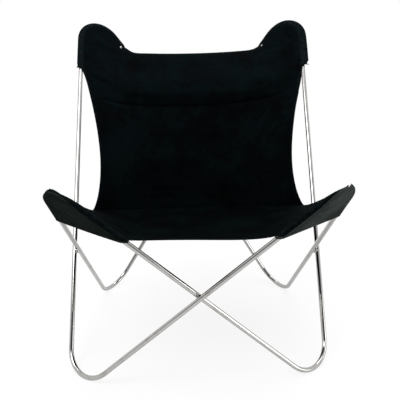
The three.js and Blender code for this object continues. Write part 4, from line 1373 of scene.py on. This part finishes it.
def pocket_grid(corner, part):
    """Spots of a pocket, one line for each place along the bar: from the seam straight to where it
    touches the bar, round the bar to its far side, flat to the mouth's edge, and over its fold."""
    bend = corner["bend"]
    middle, out, _, normal = bar_at(bend, part["distance"])
    away = sewn_gap + canvas / 2
    free = part["lips"][:, -1] - part["normal"] * away
    begin = turn_to(corner, part["distance"], free, part["turn"] + away / hug_radius, part["hold"])
    offset = begin - middle
    rise, aside = dot(offset, normal)[:, 0], dot(offset, out)[:, 0]
    radius = hug_radius + mouth_lift * mouth_share(corner, part["distance"])
    touch = np.arccos(np.minimum(1, radius / np.hypot(rise, aside)))
    leave = np.minimum(np.arctan2(aside, rise) + touch + leave_turn, last_leave)
    s = np.arange(wrap_steps + 1)[None] / wrap_steps
    turn = mix(leave[:, None], np.pi, s)
    wrap = hug(corner, part["distance"][:, None] * (1 - mouth_slant * smooth(s)), turn)
    s = (np.arange(free_steps) / free_steps)[None, :, None]
    straight = mix(begin[:, None], wrap[:, :1], s)
    t = (corner["inner"] - part["distance"]) / (corner["inner"] + corner["outer"])
    shrunk = 1 - mouth_slant
    ends = [bar_at(bend, place * shrunk)[0] for place in (corner["inner"], -corner["outer"])]
    edge = mix(ends[0], ends[1], t[:, None]) - normal * hug_radius
    edge = edge + bend["outward"] * (corner["bow"] * arch(t) - mouth_spare)[:, None]
    s = (np.arange(1, flat_steps + 1) / flat_steps)[None, :, None]
    flat = mix(wrap[:, -1:], edge[:, None], s)
    angle = np.pi * np.arange(1, mouth_steps + 1)[None] / mouth_steps
    roll = mix(tight_roll, free_roll, smooth(arch(t) / roll_rise))[:, None]
    fold = edge[:, None] + normal[:, None] * (roll * (1 - np.cos(angle)))[..., None]
    fold = fold - bend["outward"] * (roll * np.sin(angle))[..., None]
    return np.concatenate([straight, wrap, flat, fold], 1), {"t": t, "normal": normal}


def pocket_normals(grid):
    """The normals of a pocket, also where its lines run together."""
    return unit(np.cross(np.gradient(grid, axis=0), np.gradient(grid, axis=1)) + 1e-12)


def pulled(grid, distance):
    """A pocket with the shallow folds that the load pulls along its bar: waves across it whose
    place wanders along the bar, strongest beside the bend and gone at its seam and mouth."""
    length = run_lengths(grid, 1)
    d = distance[:, None]
    wander = 2.2 * np.sin(d * 23) + 1.3 * np.sin(d * 61 + 1)
    wrapped = length[:, free_steps + wrap_steps][:, None]
    bar_side = smooth((length - wrapped + pull_start) / pull_fade_bar)
    mouth = smooth((length[:, -mouth_steps - 1][:, None] - length) / pull_fade_mouth)
    wave = np.sin(2 * np.pi * length / pull_pitch + wander)
    return grid + pocket_normals(grid) * (pull_height * wave * bar_side * mouth)[..., None]


def grid_faces(columns, rows):
    """Four-sided faces of a grid, its lines running first along and then across."""
    number = np.arange(columns * rows).reshape(columns, rows)
    faces = np.stack([number[:-1, :-1], number[:-1, 1:], number[1:, 1:], number[1:, :-1]], -1)
    return faces.reshape(-1, 4)


def facing(spots, faces, direction):
    """The faces, all turned over if most of them look away from a direction."""
    a, b, c, d = (spots[faces[:, k]] for k in range(4))
    total = np.cross(c - a, d - b).sum(0)
    return faces[:, ::-1] if total @ direction < 0 else faces


def strip_piece(name, grid, direction, rub_lines=()):
    """A grid of canvas as one closed sheet that faces a direction, rubbed along some lines."""
    spots = grid.reshape(-1, 3)
    faces = facing(spots, grid_faces(*grid.shape[:2]), direction)
    length = run_lengths(grid, 1)
    uv = np.stack([run_lengths(grid, 0), length], -1).reshape(-1, 2)
    rub = np.zeros(grid.shape[:2])
    for line in rub_lines:
        rub = np.maximum(rub, np.exp(-np.abs(length - length[:, line][:, None]) / rub_fade))
    return cloth_solid(name, spots, faces, uv, rub.ravel())


# Each front pocket gets its own copy of the canvas with painted light. The right one is painted far
# paler, to the grey its face shows where light falls on it. The left one is painted a little paler
# than the panels, for the weaker light on its face.
shaded_canvas = canvas_finish(
    "black_canvas_of_left_pocket", (0.0034, 0.0054, 0.0046), (0.0080, 0.0116, 0.0094),
    rubbed=(0.024, 0.029, 0.027))
lit_canvas = canvas_finish(
    "black_canvas_of_right_pocket", (0.016, 0.020, 0.0185), (0.034, 0.040, 0.037),
    rubbed=(0.060, 0.066, 0.063))
# The ears' copy of the canvas is painted paler and bluer than the back. This is painted light for
# the light that falls on the ears from above.
ear_canvas_painted_light = canvas_finish(
    "black_canvas_of_ears_with_painted_light", (0.0018, 0.0039, 0.0052), (0.0036, 0.0080, 0.0098),
    rubbed=(0.011, 0.016, 0.018))
pocket_finishes = {
    "front_left": shaded_canvas, "front_right": lit_canvas,
    "rear_left": ear_canvas_painted_light, "rear_right": ear_canvas_painted_light,
}
panels = {
    "front": (seat_lips, seat_grid, seat_near, seat_rows <= corner_columns + row_slack),
    "rear": (back_lips, back_grid, back_near, back_rows >= free_rows - row_slack),
}
sitter = np.array([0.0, -1.0, 1.0])
pockets = {}
for name, corner in corners.items():
    row, side = name.split("_")
    lips, panel_grid, near, on_outer = panels[row]
    part = corner_lips(lips, *panel_grid.shape[:2], near, side == "right", int(on_outer.sum()) - 1)
    grid, mouth = pocket_grid(corner, part)
    grid = pulled(grid, part["distance"])
    node = f"{row}_pocket_{side}"
    piece = strip_piece(f"canvas_{node}", grid, -corner["bend"]["normal"],
                        (0, grid.shape[1] - mouth_steps // 2))
    finished(piece, pocket_finishes[name], node)
    pockets[node] = {"piece": piece, "grid": grid, "mouth": mouth, "corner": corner}

# The turned hems, the bindings behind the long side edges, the felled strip behind the crease and
# the hems inside the pockets' mouths: one more layer of the canvas, close behind the first one.
binding_width = 0.018
strip_start = 0.0004
strip_lines = 6
seam_places = np.array([0.0006, 0.003, 0.006, 0.009, 0.0125, 0.016])
ridge_stretch = 1.15
hem_start, binding_start, binding_end = 0.6, 0.25, 0.6
long_reach, short_reach = 40, 30
mouth_shares = 0.14, 0.86
mouth_hem_share = 0.92
seam_end_gap = 0.0025
corner_run = 8
onward, backward = slice(None), slice(None, None, -1)


def inset(lines, normals, distances, offset):
    """Spots some way along each line from its start, moved out along its normals there."""
    length = run_lengths(lines, 1)
    count = lines.shape[1]
    rows = np.arange(len(lines))[:, None]
    passed = length[:, None, :] <= np.asarray(distances)[None, :, None]
    k = np.clip(passed.sum(-1) - 1, 0, count - 2)
    t = ((distances - length[rows, k]) / (length[rows, k + 1] - length[rows, k]))[..., None]
    spot = mix(lines[rows, k], lines[rows, k + 1], t)
    normal = unit(mix(normals[rows, k], normals[rows, k + 1], t))
    return spot + normal * offset, normal


def along_rows(array, here, way, reach):
    """Lines across some columns of a panel, from one of its long edges inwards."""
    return array[here][:, way][:, :reach]


def along_columns(array, here, way):
    """Lines across some rows of a panel, from one of its side edges inwards."""
    return np.swapaxes(array[way][:long_reach][:, here], 0, 1)


def strip(node, spots, direction=-sitter):
    """One strip of canvas with its finish."""
    piece = strip_piece(f"canvas_{node}", spots, direction)
    on_back = node in ("top_hem", "rear_mouth_hem_left", "rear_mouth_hem_right")
    # The back's strips take the back's copy of the canvas. All the others take the seat's copy,
    # with its painted shade.
    finished(piece, back_canvas if on_back else seat_canvas_painted_shade, node)
    strips[node] = piece


seat_normals, back_normals = grid_normals(seat_grid), grid_normals(back_grid)
strips = {}
hem_places = np.linspace(strip_start, hem_width, strip_lines)
for node, grid, normals, near, way in (
    ("front_hem", seat_grid, seat_normals, seat_near, onward),
    ("top_hem", back_grid, back_normals, back_near, backward),
):
    here = near > corner_columns + hem_start
    lines = [along_rows(array, here, way, long_reach) for array in (grid, normals)]
    strip(node, inset(*lines, hem_places, -hem_layer)[0])

binding_places = np.linspace(strip_start, binding_width, strip_lines)


def on_seat_columns(array):
    """Values of the back's columns, read off at the seat's columns."""
    flat = array.reshape(len(array), -1).T
    read = np.stack([np.interp(seat_columns, back_columns, values) for values in flat], -1)
    return read.reshape((len(seat_columns),) + array.shape[1:])


back_lines, back_line_normals = (
    on_seat_columns(array[:, :short_reach]) for array in (back_grid, back_normals)
)
crease_normals = seat_normals[:, -1] + back_line_normals[:, 0]
crease_back = seat_crease - crease_normals * hem_layer / (
    1 + dot(seat_normals[:, -1], back_line_normals[:, 0])
)
for node, way in (("side_binding_left", onward), ("side_binding_right", backward)):
    parts = []
    for grid, normals, here in (
        (seat_grid, seat_normals, seat_rows > corner_columns + binding_start),
        (back_grid, back_normals, back_rows < free_rows - binding_end),
    ):
        lines = [along_columns(array, here, way) for array in (grid, normals)]
        parts.append(inset(*lines, binding_places, -hem_layer)[0])
    step = unit(crease_back[way][corner_run] - crease_back[way][0])
    turn = crease_back[way][0] + step * binding_places[:, None]
    strip(node, np.concatenate([parts[0], turn[None], parts[1]]))

side_length = np.minimum(run_lengths(seat_crease[:, None], 0)[:, 0],
                         run_lengths(seat_crease[::-1, None], 0)[::-1, 0])
here = side_length > binding_width + seam_end_gap
lines = [along_rows(array, here, backward, short_reach) for array in (seat_grid, seat_normals)]
under = inset(*lines, seam_places, -hem_layer)[0]
rear = inset(back_lines[here], back_line_normals[here], seam_places, -hem_layer)[0]
ridge = seat_crease[here] - unit(crease_normals[here]) * hem_layer * ridge_stretch
strip("cross_seam", np.concatenate([under[:, ::-1], ridge[:, None], rear], 1))

for node, pocket in pockets.items():
    mouth = pocket["mouth"]
    here = (mouth["t"] > mouth_shares[0]) & (mouth["t"] < mouth_shares[1])
    lines = pocket["grid"][here][:, -mouth_steps - 1:free_steps + wrap_steps:-1]
    normals = np.broadcast_to(mouth["normal"][here][:, None], lines.shape)
    width = np.minimum(hem_width, run_lengths(lines, 1)[:, -1].min() * mouth_hem_share)
    spots, _ = inset(lines, normals, np.linspace(strip_start, width, strip_lines), hem_layer)
    strip(node.replace("pocket", "mouth_hem"), spots, pocket["corner"]["bend"]["normal"])

# The stitching: black thread, sewn by machine in rows along the hems, the bindings, the crease and
# the pockets' seams. Each stitch is a short thread that dips into the canvas at both ends.
stitch_pitch = 0.0042
stitch_length = 0.0031
thread_radius = 0.00027
thread_lift = 0.00016
thread_sides = 6
thread_rub = 0.35
ring_reach = np.array([-1, -0.72, 0, 0.72, 1]) * stitch_length / 2
ring_lift = np.array([-0.0003, 0.5 * thread_lift, thread_lift, 0.5 * thread_lift, -0.0003])
ring_radius = thread_radius * np.array([0.55, 0.95, 1, 0.95, 0.55])
end_caps = [(0, (3, 2, 1, 0)), (0, (5, 4, 3, 0)), (-1, (0, 1, 2, 3)), (-1, (0, 3, 4, 5))]
row_start = 0.5
crease_columns = slice(12, -12)
crease_row, second_row = 0.006, 0.0125
seam_row = 0.0045
seam_row_lines = free_steps + 9
mouth_row_shares = 0.1, 0.9


def stitched(name, lines):
    """Stitches at even places along lines of spots and normals: a six-sided thread through five
    rings, thinner and lower at its ends."""
    spots_all, faces_all, start = [], [], 0
    turn = 2 * np.pi * np.arange(thread_sides) / thread_sides
    for line, normals in lines:
        length = line_lengths(line)
        count = int(length[-1] / stitch_pitch)
        centre = (np.arange(count) + 0.5) * length[-1] / count
        at = centre[:, None] + ring_reach[None]
        spot, normal = (
            np.stack([np.interp(at, length, array[:, k]) for k in range(3)], -1)
            for array in (line, normals)
        )
        normal = unit(normal)
        side = unit(np.cross(normal, unit(spot[:, -1] - spot[:, 0])[:, None]))
        ring = (spot + normal * ring_lift[:, None])[:, :, None] + ring_radius[:, None, None] * (
            side[:, :, None] * np.cos(turn)[:, None] + normal[:, :, None] * np.sin(turn)[:, None]
        )
        number = start + np.arange(ring[..., 0].size).reshape(ring.shape[:3])
        after = np.roll(number, -1, 2)
        sides = np.stack([number[:, :-1], after[:, :-1], after[:, 1:], number[:, 1:]], -1)
        caps = [number[:, end][:, list(order)] for end, order in end_caps]
        spots_all.append(ring.reshape(-1, 3))
        faces_all.append(np.concatenate([sides.reshape(-1, 4)] + caps))
        start += number.size
    spots, faces = np.concatenate(spots_all), np.concatenate(faces_all)
    rub = np.full(len(spots), thread_rub)
    return laid_mesh(name, spots, faces, np.zeros((faces.size, 2)), rub)


def on_face(lines, normals, distance):
    """One row of stitches at a distance from an edge: its spots on the cloth's face, and the
    normals there."""
    spots, out = inset(lines, normals, np.array([distance]), canvas / 2)
    return spots[:, 0], out[:, 0]


def panel_rows(panel, near, rows_free, edge_way, crease_way, crease_places):
    """Rows of stitches on a panel: along its free long edge, both side edges and the crease."""
    here = near > corner_columns + row_start
    lines = (along_rows(array, here, edge_way, long_reach) for array in panel)
    rows = [on_face(*lines, stitch_inset)]
    for way in (onward, backward):
        lines = (along_columns(array, rows_free, way) for array in panel)
        rows.append(on_face(*lines, stitch_inset))
    for place in crease_places:
        lines = (along_rows(array, crease_columns, crease_way, short_reach) for array in panel)
        rows.append(on_face(*lines, place))
    return rows


stitches = {
    "seat": stitched("stitches_seat", panel_rows(
        (seat_grid, seat_normals), seat_near, seat_rows > corner_columns + binding_start,
        onward, backward, (crease_row,))),
    "back": stitched("stitches_back", panel_rows(
        (back_grid, back_normals), back_near, back_rows < free_rows - row_start,
        backward, onward, (crease_row, second_row))),
}
for node, pocket in pockets.items():
    normals = pocket_normals(pocket["grid"])
    if normals.sum((0, 1)) @ pocket["corner"]["bend"]["normal"] > 0:
        normals = -normals
    t, layers = pocket["mouth"]["t"], (pocket["grid"], normals)
    inside = (t > mouth_row_shares[0]) & (t < mouth_row_shares[1])
    seam_lines = (array[2:-2, :seam_row_lines] for array in layers)
    mouth_lines = (array[inside][:, -mouth_steps - 1:free_steps:-1] for array in layers)
    stitches[node] = stitched(f"stitches_{node}", [
        on_face(*seam_lines, seam_row), on_face(*mouth_lines, second_row),
    ])
thread_black = canvas_finish(
    "black_thread", (0.003, 0.004, 0.0045), (0.006, 0.008, 0.009),
    rubbed=(0.02, 0.024, 0.026), pitch=thread_pitch)
for piece in stitches.values():
    finished(piece, thread_black)

# At both front corners the stiff end of a seam pushes all layers of the canvas up into a small nub.
nubs = [
    (np.array([0.340, -0.368, 0.513]), np.array([0.0002, 0.0, 0.0074])),
    (np.array([-0.334, -0.357, 0.512]), np.array([-0.0004, 0.0, 0.0026])),
]
nub_width = 0.0120


def pushed_up(piece):
    """Canvas pushed out by the stiff end of its seam: moved by height exp(-(distance / width)^2)
    about each front corner's nub, the same for every layer there."""
    spots = np.empty(3 * len(piece.data.vertices), np.float32)
    piece.data.vertices.foreach_get("co", spots)
    spots = spots.reshape(-1, 3)
    for middle, push in nubs:
        gap = np.linalg.norm(spots - middle, axis=-1, keepdims=True)
        spots = spots + push * np.exp(-(gap / nub_width) ** 2)
    piece.data.vertices.foreach_set("co", spots.astype(np.float32).ravel())
    piece.data.update()


front_layers = [seat, *strips.values(), *stitches.values()]
front_layers += [pocket["piece"] for pocket in pockets.values()]
for piece in front_layers:
    pushed_up(piece)

# The two rivets at the inner ends of the ears' seams: small domed heads of satin nickel, pressed
# through the canvas, each with a rolled rim.
rivet_radius = 0.0035
rivet_lift = 0.0002
rivet_profile = np.array([
    (0.0, -0.0006), (0.86, -0.0006), (1.0, -0.0002), (1.06, 0.0001), (1.05, 0.0004),
    (0.97, 0.00055), (0.88, 0.0005), (0.80, 0.00062), (0.66, 0.00105), (0.46, 0.00140),
    (0.24, 0.00156), (0.0, 0.0016),
])
rivet_sides = 40


def rivet_head(name, node):
    """A profile of radius and height turned about the canvas's normal at the node's middle."""
    low, high = (np.array(spot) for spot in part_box(node))
    middle = (low + high) / 2
    gap = np.linalg.norm(back_grid - middle, axis=-1)
    i, j = np.unravel_index(gap.argmin(), gap.shape)
    normal = back_normals[i, j]
    drop = dot(middle - back_grid[i, j], normal)[0] - canvas / 2 - rivet_lift
    base = middle - normal * drop
    side = unit(np.cross(normal, (0, 0, 1.0)))
    rise = np.cross(side, normal)
    turn = 2 * np.pi * np.arange(rivet_sides) / rivet_sides
    round_way = np.cos(turn)[:, None] * side + np.sin(turn)[:, None] * rise
    rings = rivet_profile[1:-1]
    beside = round_way[None] * (rings[:, None, :1] * rivet_radius)
    spots = base + normal * rings[:, None, 1:] + beside
    poles = base + normal * rivet_profile[[0, -1], 1][:, None]
    number = np.arange(len(rings) * rivet_sides).reshape(len(rings), rivet_sides)
    after = np.roll(number, -1, 1)
    faces = np.stack([number[1:], after[1:], after[:-1], number[:-1]], -1).reshape(-1, 4)
    foot, crown = number.size, number.size + 1
    triangles = [[foot, a, b] for a, b in zip(number[0], after[0])]
    triangles += [[b, a, crown] for a, b in zip(number[-1], after[-1])]
    spots = np.concatenate([spots.reshape(-1, 3), poles])
    return smooth_object(name, spots, faces.tolist() + triangles)


nickel_bright, nickel_dull = (0.52, 0.51, 0.49, 1), (0.36, 0.35, 0.33, 1)
nickel, tree = new_material("satin_nickel")
spot = wired(tree, "ShaderNodeTexCoord").outputs["Object"]
grain = noise(tree, spot, 2600.0, detail=3.0, rough=0.6)
tarnish = ranged(tree, noise(tree, spot, 420.0, detail=3.0, rough=0.6), 0.4, 0.7)
relief = wired(tree, "ShaderNodeBump", Height=grain, Strength=0.1, Distance=0.0001)
with_shader(
    nickel, tree, Base_Color=blended(tree, tarnish, nickel_bright, nickel_dull), Metallic=1.0,
    Roughness=ranged(tree, grain, 0.3, 0.7, to_low=0.26, to_high=0.38), Normal=relief.outputs[0],
)
for side in ("left", "right"):
    rivet = rivet_head(f"rivet_head_{side}", f"rivet_{side}")
    finished(rivet, nickel, f"rivet_{side}")
